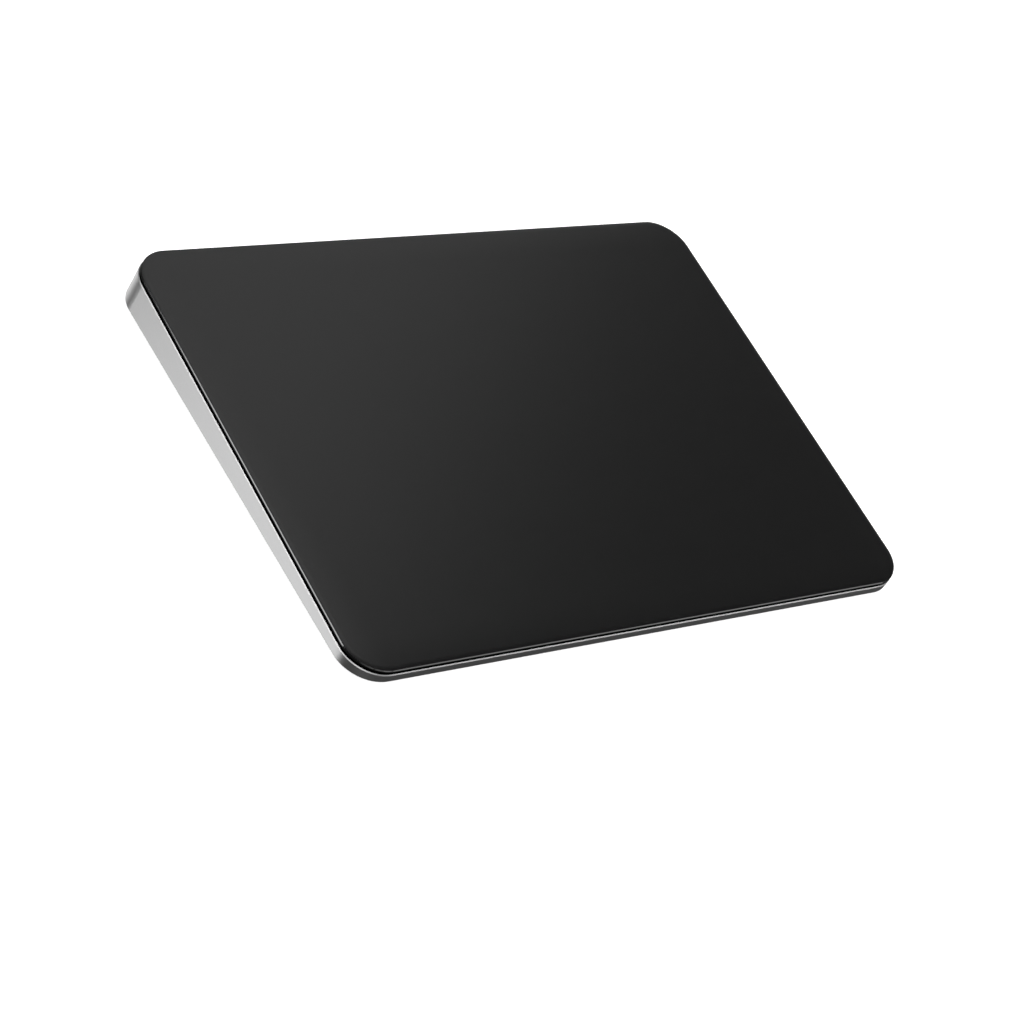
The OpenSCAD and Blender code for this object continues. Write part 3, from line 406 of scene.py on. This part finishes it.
# foam tape: white, fibrous and matt
foamTape, *_ = makeFinish("white_foam_tape", "#dcd8cc", "#ebe8df", 0, (0.75, 0.9), 0.35, bump=0.02)
# moulded ABS, painted silver: a soft even metallic grey for the slider
sliderPaint, *_ = makeFinish("silver_painted_abs", "#b9babc", "#c6c7c9", 0.55, (0.36, 0.44), 0.2, bump=0.002)
# pad-printed green: flat clear colour with a slightly uneven ink film
greenInk, *_ = makeFinish("pad_printed_green", "#22a344", "#2fb955", 0, (0.4, 0.5), 0.5)

# solder mask on a glass-epoxy board: deep green, with the copper tracks under it as paler lines 0.5 mm apart
board = {"tile": 14, "gap": 0.012, "long": 0.5, "row": 0.036, "share": 0.6}  # tile in mm, the rest as parts
solderMask, tree, shader, place = makeFinish("green_solder_mask", "#0d3a27", "#11472f", 0, (0.3, 0.4), 1.2)
tracks = addNode(tree, "ShaderNodeTexBrick", {
    "Scale": 1 / (board["tile"] * mm), "Mortar Size": board["gap"], "Brick Width": board["long"],
    "Row Height": board["row"], "Color1": linear("#185a3d"), "Color2": linear("#0f412c"),
    "Mortar": linear("#0c3324")}, {"Vector": place})
mask = shader.inputs["Base Color"].links[0].from_socket
layered = addNode(tree, "ShaderNodeMix", {"data_type": "RGBA", 0: board["share"]},
                  {6: mask, 7: tracks.outputs["Color"]})
tree.links.new(layered.outputs[2], shader.inputs["Base Color"])

trackPitch = 0.5  # between the tracks of a ribbon, in mm


# polyimide film: clear amber over copper tracks, which run the length of the ribbon
def ribbonFilm(name, axis):
    material, tree, shader, place = makeFinish(name, "#8a5a18", "#a06c22", 0, (0.26, 0.36), 0.8, bump=0.002)
    waves = 2 * math.pi / (20 * trackPitch * mm)  # a wave is 2 pi / 20 long at a scale of 1
    lines = addNode(tree, "ShaderNodeTexWave", {"bands_direction": axis, "Scale": waves}, {"Vector": place})
    film = shader.inputs["Base Color"].links[0].from_socket
    copper = addNode(tree, "ShaderNodeMix", {"data_type": "RGBA", 7: linear("#c07a34")},
                     {0: lines.outputs["Fac"], 6: film})
    tree.links.new(copper.outputs[2], shader.inputs["Base Color"])
    return material


lengthwiseFilm = ribbonFilm("polyimide_film_lengthwise", "X")
crosswiseFilm = ribbonFilm("polyimide_film_crosswise", "Y")
print("inner finishes made")


def sliceUp(piece, axis, places):  # cuts the whole mesh across at those places
    pickFaces(piece, lambda face: True)
    across = [0, 0, 0]
    across[axis] = 1
    for spot in places:
        point = [0, 0, 0]
        point[axis] = spot
        bpy.ops.mesh.select_all(action="SELECT")
        bpy.ops.mesh.bisect(plane_co=point, plane_no=across)
    objectMode()


def roundBar(name, centre, radius, low, high, sides=48):  # an upright cylinder, to be shaped
    deselectAll()
    bpy.ops.mesh.primitive_cylinder_add(vertices=sides, radius=radius, depth=high - low,
                                        location=(centre[0], centre[1], (low + high) / 2))
    piece = bpy.context.object
    piece.name = name
    bpy.ops.object.transform_apply(location=True, rotation=False, scale=False)
    return piece


def carve(piece, tool, how):  # joins or cuts with another piece, which is then deleted
    onlyThis(piece)
    step = piece.modifiers.new("carve", "BOOLEAN")
    step.operation, step.object, step.solver = how, tool, "EXACT"
    bpy.ops.object.modifier_apply(modifier=step.name)
    bpy.data.objects.remove(tool)


# rubber feet: discs with a soft edge and a sunk middle underneath
foot = {"radius": 4.5, "soft": 0.25, "land": 1.1, "slope": 0.2, "sink": 0.12, "sides": 64}
low, high = (Vector(p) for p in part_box("feet"))
footX, footY = high.x - foot["radius"] * mm, high.y - foot["radius"] * mm
oneFoot = roundBar("rubber_feet", (footX, footY), foot["radius"] * mm, low.z, high.z, foot["sides"])
bevelEdges(oneFoot, inPlane(2, low.z), foot["soft"], 4)
pickFaces(oneFoot, lambda face: face.normal.z < -0.99)
bpy.ops.mesh.inset(thickness=foot["land"] * mm)
bpy.ops.mesh.inset(thickness=foot["slope"] * mm)
bpy.ops.transform.translate(value=(0, 0, foot["sink"] * mm))
objectMode()
moves = [(-2 * footX, 0, 0), (0, -2 * footY, 0), (-2 * footX, -2 * footY, 0)]
rubberFeet = joinPieces([oneFoot] + [copyPiece(oneFoot, move) for move in moves], "rubber_feet")
finishPiece(rubberFeet, footRubber)
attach(rubberFeet, "housing")
standsFor(rubberFeet, "foot_rubber", "feet")

# power slider: a ribbed knob with round ends, the plate behind the wall and the fork for the lever
slider = {"knob": (4.0, 1.8), "roundEnd": 0.88, "soft": 0.12, "plate": 0.8, "plateCorner": 0.5, "plateSoft": 0.08,
          "fork": 1.2, "forkWide": 0.8, "forkSoft": 0.15, "lever": 1.0, "leverGap": 0.1, "ribs": (-0.7, 0.0, 0.7),
          "ribWide": 0.3, "ribHalf": 0.54, "ribTall": 0.15, "ribSoft": 0.09,
          "knobLap": 0.2, "ribLap": 0.1, "forkLap": 0.3}  # a lap is let into what carries it
low, high = tiltedBox("power_slider")
mid = (low + high) / 2
face = high.y - slider["ribTall"] * mm
plateBack = low.y + slider["fork"] * mm
plateFront = plateBack + slider["plate"] * mm
half = Vector((slider["knob"][0], 0, slider["knob"][1])) * mm / 2
knob = newCube("slider_knob", Vector((mid.x, plateFront - slider["knobLap"] * mm, mid.z)) - half,
               Vector((mid.x, face, mid.z)) + half)
bevelEdges(knob, runsAlong(1, face - plateFront), slider["roundEnd"], 10)
bevelEdges(knob, inPlane(1, face), slider["soft"], 4)
backPlate = newCube("back_plate", Vector((low.x, plateBack, low.z)), Vector((high.x, plateFront, high.z)))
bevelEdges(backPlate, runsAlong(1, plateFront - plateBack), slider["plateCorner"], 5)
bevelSharp(backPlate, slider["plateSoft"], 2)
sliderParts = [knob, backPlate]
half = Vector((slider["ribWide"] / 2, 0, slider["ribHalf"])) * mm
for step in slider["ribs"]:
    ribX = mid.x + step * mm
    rib = newCube("rib", Vector((ribX, face - slider["ribLap"] * mm, mid.z)) - half,
                  Vector((ribX, high.y, mid.z)) + half)
    bevelEdges(rib, inPlane(1, high.y), slider["ribSoft"], 3)
    sliderParts.append(rib)
inner = slider["lever"] / 2 + slider["leverGap"]
half = slider["lever"] / 2 * mm
for side in (-1, 1):
    spread = sorted(mid.x + side * s * mm for s in (inner, inner + slider["forkWide"]))
    prong = newCube("prong", Vector((spread[0], low.y, mid.z - half)),
                    Vector((spread[1], plateBack + slider["forkLap"] * mm, mid.z + half)))
    bevelEdges(prong, inPlane(1, low.y), slider["forkSoft"], 3)
    sliderParts.append(prong)
sliderKnob = joinPieces(sliderParts, "slider_knob")
finishPiece(sliderKnob, sliderPaint, onTop=True)
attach(sliderKnob, "power_slider")
standsFor(sliderKnob, "slider_plastic", "power_slider")
print("feet and slider made")

# gel pads: short soft discs that bulge a little under the plate's weight
gel = {"radius": 3.0, "bulge": 0.16, "cuts": 7}
low, high = tiltedBox("gel_pads")
gelX = high.x - gel["radius"] * mm
armRows = (low.y + gel["radius"] * mm, high.y - gel["radius"] * mm)
onePad = roundBar("gel_pad", (gelX, armRows[0]), (gel["radius"] - gel["bulge"]) * mm, low.z, high.z)
pickEdges(onePad, runsAlong(2, high.z - low.z))
bpy.ops.mesh.subdivide(number_cuts=gel["cuts"])
objectMode()
for v in onePad.data.vertices:
    up = 2 * (v.co.z - low.z) / (high.z - low.z) - 1
    swell = 1 + gel["bulge"] / (gel["radius"] - gel["bulge"]) * (1 - up * up)
    v.co.x = gelX + (v.co.x - gelX) * swell
    v.co.y = armRows[0] + (v.co.y - armRows[0]) * swell
rowGap = armRows[1] - armRows[0]
moves = [(-2 * gelX, 0, 0), (0, rowGap, 0), (-2 * gelX, rowGap, 0)]
gelDiscs = joinPieces([onePad] + [copyPiece(onePad, move) for move in moves], "gel_discs")
finishPiece(gelDiscs, dampingGel, smooth=50, onTop=True)
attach(gelDiscs, "suspension")
standsFor(gelDiscs, "gel", "gel_pads")

# spring arms: an anchor with two threaded collars, a waist that bends and a pad under the gel
arm = {"pad": 9.0, "waist": 5.0, "waistParts": 6, "fillet": 1.4, "filletSteps": (0, 0.08, 0.22, 0.42, 0.7, 1),
       "thick": 0.4, "corner": 1.0, "anchorX": 49.0, "pitch": 4.8, "hole": 0.8, "drillPast": 1.0,
       "collar": 1.5, "collarLap": 0.1, "collarSoft": 0.12, "sides": 40}
low, high = tiltedBox("flexures")
armTop = low.z + arm["thick"] * mm
armY = armRows[0]
padHalf = arm["pad"] / 2 * mm
innerX, outerX = (arm["anchorX"] - arm["pad"] / 2) * mm, high.x
waistX = (innerX + arm["pad"] * mm, outerX - arm["pad"] * mm)
oneArm = newCube("spring_arm", Vector((innerX, armY - padHalf, low.z)), Vector((outerX, armY + padHalf, armTop)))
fillet = arm["fillet"] * mm
nearSteps = [waistX[0] + fillet * t for t in arm["filletSteps"]]
farSteps = [waistX[1] - fillet * t for t in reversed(arm["filletSteps"])]
midGap = farSteps[0] - nearSteps[-1]
midSteps = [nearSteps[-1] + midGap * t / arm["waistParts"] for t in range(1, arm["waistParts"])]
sliceUp(oneArm, 0, nearSteps + midSteps + farSteps)
for v in oneArm.data.vertices:
    into = min(v.co.x - waistX[0], waistX[1] - v.co.x) / fillet
    into = max(0, min(1, into))  # 0 at the shoulder, 1 where the waist is full
    width = arm["waist"] + (arm["pad"] - arm["waist"]) * (1 - math.sqrt(1 - (1 - into) ** 2))
    v.co.y = armY + (v.co.y - armY) * width / arm["pad"]
upright, atInner, atOuter = runsAlong(2, armTop - low.z), inPlane(0, innerX), inPlane(0, outerX)
bevelEdges(oneArm, lambda a, b: upright(a, b) and (atInner(a, b) or atOuter(a, b)), arm["corner"], 6)
for step in (-0.5, 0.5):
    spot = (arm["anchorX"] * mm, armY + step * arm["pitch"] * mm)
    past = arm["drillPast"] * mm
    collar = roundBar("collar", spot, arm["collar"] * mm, armTop - arm["collarLap"] * mm, high.z, arm["sides"])
    bevelEdges(collar, inPlane(2, high.z), arm["collarSoft"], 2)
    carve(oneArm, collar, "UNION")
    drill = roundBar("drill", spot, arm["hole"] * mm, low.z - past, high.z + past, arm["sides"])
    carve(oneArm, drill, "DIFFERENCE")
rightArms = joinPieces([oneArm, copyPiece(oneArm, (0, rowGap, 0))], "right_spring_arms")
leftArms = copyPiece(rightArms, flip=True)
leftArms.name = "left_spring_arms"

# strain gauges: a film patch under each waist with a folded foil grid
gauge = {"rows": 9, "end": 0.45, "margin": 0.35, "foil": 0.03, "corner": 0.3}
gLow, gHigh = tiltedBox("strain_gauges")
gaugeL = (gHigh.x - (waistX[0] + waistX[1]) / 2) * 2
gaugeHalf = gHigh.y - armRows[1]
patchLow = Vector((gHigh.x - gaugeL, armY - gaugeHalf, gLow.z + gauge["foil"] * mm))
patchHigh = Vector((gHigh.x, armY + gaugeHalf, gHigh.z))
patch = newCube("strain_gauge", patchLow, patchHigh)
margin, end = gauge["margin"] * mm, gauge["end"] * mm
gridLow, gridHigh = patchLow.x + margin, patchHigh.x - margin
strip = (2 * gaugeHalf - 2 * margin) / gauge["rows"]
sliceUp(patch, 1, [patchLow.y + margin + strip * i for i in range(gauge["rows"] + 1)])
sliceUp(patch, 0, [gridLow, gridLow + end, gridHigh - end, gridHigh])


def onGrid(face):  # the foil runs to and fro and turns at the ends
    if face.normal.z > -0.9:
        return False
    lane = (face.center.y - patchLow.y - margin) / strip
    along = min(face.center.x - patchLow.x, patchHigh.x - face.center.x) - margin
    if not 0 < lane < gauge["rows"] or along < 0:
        return False
    turn = patchHigh.x if int(lane) % 4 == 1 else patchLow.x
    return int(lane) % 2 == 0 or abs(face.center.x - turn) < margin + end


def patchCorner(a, b):
    atEnd = min(abs(a.x - patchLow.x), abs(a.x - patchHigh.x)) < slack
    return abs(a.z - b.z) > gauge["foil"] * mm + slack and abs(abs(a.y - armY) - gaugeHalf) < slack and atEnd


pickFaces(patch, onGrid)
bpy.ops.mesh.extrude_region_move(TRANSFORM_OT_translate={"value": (0, 0, -gauge["foil"] * mm)})
objectMode()
bevelEdges(patch, patchCorner, gauge["corner"], 4)
rightGauges = joinPieces([patch, copyPiece(patch, (0, rowGap, 0))], "right_strain_gauges")
leftGauges = copyPiece(rightGauges, flip=True)
leftGauges.name = "left_strain_gauges"
for side, arms, gauges in ((1, rightArms, rightGauges), (-1, leftArms, leftGauges)):
    finishPiece(arms, springSteel, onTop=True)
    finishPiece(gauges, crosswiseFilm, onTop=True)
    for piece in (arms, gauges):  # each piece's placing is baked into its mesh
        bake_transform(piece)
standsFor(rightArms, "steel", "flexures")
standsFor(leftArms, "steel", "flexures")
standsFor(rightGauges, "gauge_film", "strain_gauges")
standsFor(leftGauges, "gauge_film", "strain_gauges")
print("suspension made: gel, arms and gauges")


def roundedRoute(points, radius, steps=6):  # softens the corners of a route
    route = [Vector(points[0])]
    for before, corner, after in zip(points, points[1:], points[2:]):
        before, corner, after = Vector(before), Vector(corner), Vector(after)
        reach = min(radius, (before - corner).length / 2, (after - corner).length / 2)
        start = corner + (before - corner).normalized() * reach
        stop = corner + (after - corner).normalized() * reach
        for i in range(steps + 1):
            t = i / steps
            route.append(start * (1 - t) ** 2 + corner * 2 * t * (1 - t) + stop * t * t)
    return route + [Vector(points[-1])]


def flatRibbon(name, route, middle, ribbon, alongX=False):
    # drawn as a plane whose far edge is extruded along the route, then given its thickness
    deselectAll()
    bpy.ops.mesh.primitive_plane_add(size=1)
    piece = bpy.context.object
    piece.name = name
    first, second = route[0] * mm, route[1] * mm
    for v in piece.data.vertices:
        here = first if v.co.x < 0 else second
        side = middle * mm + v.co.y * ribbon["width"] * mm
        v.co = (here.x, side, here.y) if alongX else (side, here.x, here.y)
    pickEdges(piece, inPlane(0 if alongX else 1, second.x))
    for here, there in zip(route[1:], route[2:]):
        step = (there - here) * mm
        shift = (step.x, 0, step.y) if alongX else (0, step.x, step.y)
        bpy.ops.mesh.extrude_edges_move(TRANSFORM_OT_translate={"value": shift})
    bpy.ops.mesh.select_all(action="SELECT")
    bpy.ops.mesh.normals_make_consistent(inside=False)
    objectMode()
    if piece.data.polygons[0].normal.z < 0:
        bpy.ops.object.mode_set(mode="EDIT")
        bpy.ops.mesh.flip_normals()
        objectMode()
    wall = piece.modifiers.new("wall", "SOLIDIFY")
    wall.thickness, wall.offset = ribbon["thick"] * mm, 1
    bpy.ops.object.modifier_apply(modifier=wall.name)
    soft = piece.modifiers.new("soft", "BEVEL")
    soft.width, soft.segments = ribbon["soft"] * mm, 2
    soft.limit_method, soft.angle_limit = "ANGLE", math.radians(60)
    bpy.ops.object.modifier_apply(modifier=soft.name)
    return piece


# flat leads, each with its middle in x and its route of y and z in mm
leads = {"width": 3.0, "thick": 0.15, "soft": 0.03, "bend": 1.2}
routes = {
    "battery_lead": (-12.0, [(38.767, 3.1), (36.417, 3.1), (34.717, 2.15), (-2.455, 2.15), (-4.255, 3.1),
                             (-7.055, 3.1)]),
    "io_flex": (12.0, [(46.487, 4.039), (45.189, 3.976), (43.317, 3.876), (41.517, 2.15), (-2.455, 2.15),
                       (-4.255, 3.1), (-7.055, 3.1)]),
    "haptic_lead": (-2.5, [(1.696, 3.5), (0.6, 3.5), (-0.6, 3.5), (-3.0, 3.5), (-7.055, 3.5)]),
}
for name, (middle, points) in routes.items():
    strip = flatRibbon(name + "_ribbon", roundedRoute(points, leads["bend"]), middle, leads)
    finishPiece(strip, lengthwiseFilm)
    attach(strip, "housing")
    standsFor(strip, "ribbon_film", name)

# touch ribbon: an S-bend from the logic board up to the sensor board, which gives as the plate goes down
touch = {"width": 8.0, "thick": 0.15, "soft": 0.03, "level": 1.5, "plugged": 0.7, "bend": 1.4, "bendSteps": 8}
low, high = tiltedBox("touch_flex")
lowZ, highZ = low.z / mm, high.z / mm - touch["thick"]
startX, endX = low.x / mm, high.x / mm
topX = endX - touch["plugged"] - touch["level"]  # level from here into the connector's mouth
points = [(startX, lowZ), (startX + touch["level"], lowZ), (topX, highZ), (endX, highZ)]
route = roundedRoute(points, touch["bend"], touch["bendSteps"])
touchRibbon = flatRibbon("touch_ribbon", route, (low.y + high.y) / 2 / mm, touch, alongX=True)
finishPiece(touchRibbon, crosswiseFilm, onTop=True)
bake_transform(touchRibbon)
standsFor(touchRibbon, "ribbon_film", "touch_flex")
print("ribbons made")

# haptic coils: enamelled wire wound round each leg of the core
coil = {"count": 4, "pitch": 7.5, "corner": 0.6, "turns": 13, "groove": 0.09, "wall": 0.58}
low, high = tiltedBox("haptic_coils")
coilWide = high.y - low.y - (coil["count"] - 1) * coil["pitch"] * mm
coilTall = high.z - low.z
coilMid = Vector((low.x, low.y + coilWide / 2, (low.z + high.z) / 2))
deselectAll()
bpy.ops.mesh.primitive_plane_add(size=1)
oneCoil = bpy.context.object
oneCoil.name = "coil_windings"
for v in oneCoil.data.vertices:  # stood up across the leg
    v.co = coilMid + Vector((0, v.co.x * coilWide, v.co.y * coilTall))
pickFaces(oneCoil, lambda face: True)
bpy.ops.mesh.bevel(offset=coil["corner"] * mm, segments=5, affect="VERTICES")
bpy.ops.mesh.select_all(action="SELECT")
bpy.ops.mesh.delete(type="ONLY_FACE")
bpy.ops.mesh.select_mode(type="EDGE")
bpy.ops.mesh.select_all(action="SELECT")
turnL = (high.x - low.x) / coil["turns"]
groove = coil["groove"] * mm
shrink = Vector((1, 1 - 2 * groove / coilWide, 1 - 2 * groove / coilTall))
swell = Vector((1, 1 / shrink.y, 1 / shrink.z))
bpy.ops.transform.resize(value=shrink)
for turn in range(coil["turns"]):  # each turn swells, runs level and sinks again
    for part, change in ((0.25, swell), (0.5, None), (0.25, shrink)):
        bpy.ops.mesh.extrude_edges_move(TRANSFORM_OT_translate={"value": (turnL * part, 0, 0)})
        if change is not None:
            bpy.ops.transform.resize(value=change)
bpy.ops.mesh.select_all(action="SELECT")
bpy.ops.mesh.normals_make_consistent(inside=False)
objectMode()
wall = oneCoil.modifiers.new("wall", "SOLIDIFY")
wall.thickness, wall.offset = coil["wall"] * mm, -1
onlyThis(oneCoil)
bpy.ops.object.modifier_apply(modifier=wall.name)
moves = [(0, coil["pitch"] * i * mm, 0) for i in range(1, coil["count"])]
windings = joinPieces([oneCoil] + [copyPiece(oneCoil, move) for move in moves], "coil_windings")
finishPiece(windings, copperWire, smooth=50, onTop=True)
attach(windings, "housing")
standsFor(windings, "copper_winding", "haptic_coils")

# battery pouches: soft-edged foil with a slight crown, folded seams at the sides and a sealed lip at the tab end
pouch = {"corner": 2.0, "edge": 0.8, "crown": 0.12, "rings": (2.2, 3.2, 4.6, 6.5, 9.0), "seam": 0.5, "fold": 0.06,
         "lip": 2.5, "lipInside": 1.0, "lipThick": 0.5, "lipMid": 3.175, "lipCorner": 0.6, "lipSoft": 0.12,
         "lipSoftReach": 0.5}
low, high = (Vector(p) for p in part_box("battery_cell_right"))
lipEnd = high.y
high.y -= pouch["lip"] * mm
rightPouch = newCube("right_pouch", low, high)
bevelEdges(rightPouch, runsAlong(2, high.z - low.z), pouch["corner"], 8)
bevelSharp(rightPouch, pouch["edge"], 5)
for axis in (0, 1):
    for ring in pouch["rings"]:
        sliceUp(rightPouch, axis, (low[axis] + ring * mm, high[axis] - ring * mm))
for v in rightPouch.data.vertices:  # the middle stays at full height and the rim sinks
    if v.co.z > high.z - slack:
        inward = min(v.co.x - low.x, high.x - v.co.x, v.co.y - low.y, high.y - v.co.y) / mm
        v.co.z -= pouch["crown"] * mm * max(0, 1 - inward / pouch["rings"][-1]) ** 2
pickFaces(rightPouch, lambda face: abs(face.normal.x) > 0.999)
bpy.ops.mesh.inset(thickness=pouch["seam"] * mm)
bpy.ops.mesh.inset(thickness=pouch["fold"] * mm, depth=pouch["fold"] * mm)
objectMode()
lipX = (low.x + pouch["corner"] * mm, high.x - pouch["corner"] * mm)
lipZ = [(pouch["lipMid"] + side * pouch["lipThick"] / 2) * mm for side in (-1, 1)]
lip = newCube("sealed_lip", Vector((lipX[0], high.y - pouch["lipInside"] * mm, lipZ[0])),
              Vector((lipX[1], lipEnd, lipZ[1])))
upright, atEnd = runsAlong(2, pouch["lipThick"] * mm), inPlane(1, lipEnd)
bevelEdges(lip, lambda a, b: upright(a, b) and atEnd(a, b), pouch["lipCorner"], 5)
softFrom = lipEnd - pouch["lipSoftReach"] * mm
bevelEdges(lip, lambda a, b: abs(a.z - b.z) < slack and min(a.y, b.y) > softFrom, pouch["lipSoft"], 3)
carve(rightPouch, lip, "UNION")
leftPouch = copyPiece(rightPouch, flip=True)
leftPouch.name = "left_pouch"
for piece, node in ((rightPouch, "battery_cell_right"), (leftPouch, "battery_cell_left")):
    finishPiece(piece, pouchFoil, smooth=40)
    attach(piece, "housing")
    standsFor(piece, "cell_foil", node)
print("coils and pouches made")

# every CAD part that is shown as it is
shown = [
    (aluminium, ["housing"]),
    (coverSheet, ["bottom_cover"]),
    (steelSheet, ["stiffener_plate", "haptic_bracket"]),
    (solderMask, ["sensor_board", "logic_board", "io_board", "battery_board"]),
    (softIron, ["armature", "haptic_core"]),
    (screwSteel, ["armature_screws", "flexure_screws", "haptic_screws", "logic_board_screws", "io_board_screws"]),
    (chipEpoxy, ["touch_controller", "logic_chips", "switch_body", "port_tongue"]),
    (creamNylon, ["sensor_connector", "board_connectors", "switch_lever"]),
    (tinnedSheet, ["shield_can", "port_shell", "cell_tabs"]),
    (goldPlate, ["port_contacts", "antenna"]),
    (foamTape, ["battery_tape"]),
    (greenInk, ["switch_marker"]),
]
for finish, names in shown:
    for name in names:
        nodes[name].data.materials.clear()
        nodes[name].data.materials.append(finish)
print(sum(len(names) for finish, names in shown), "CAD parts finished")
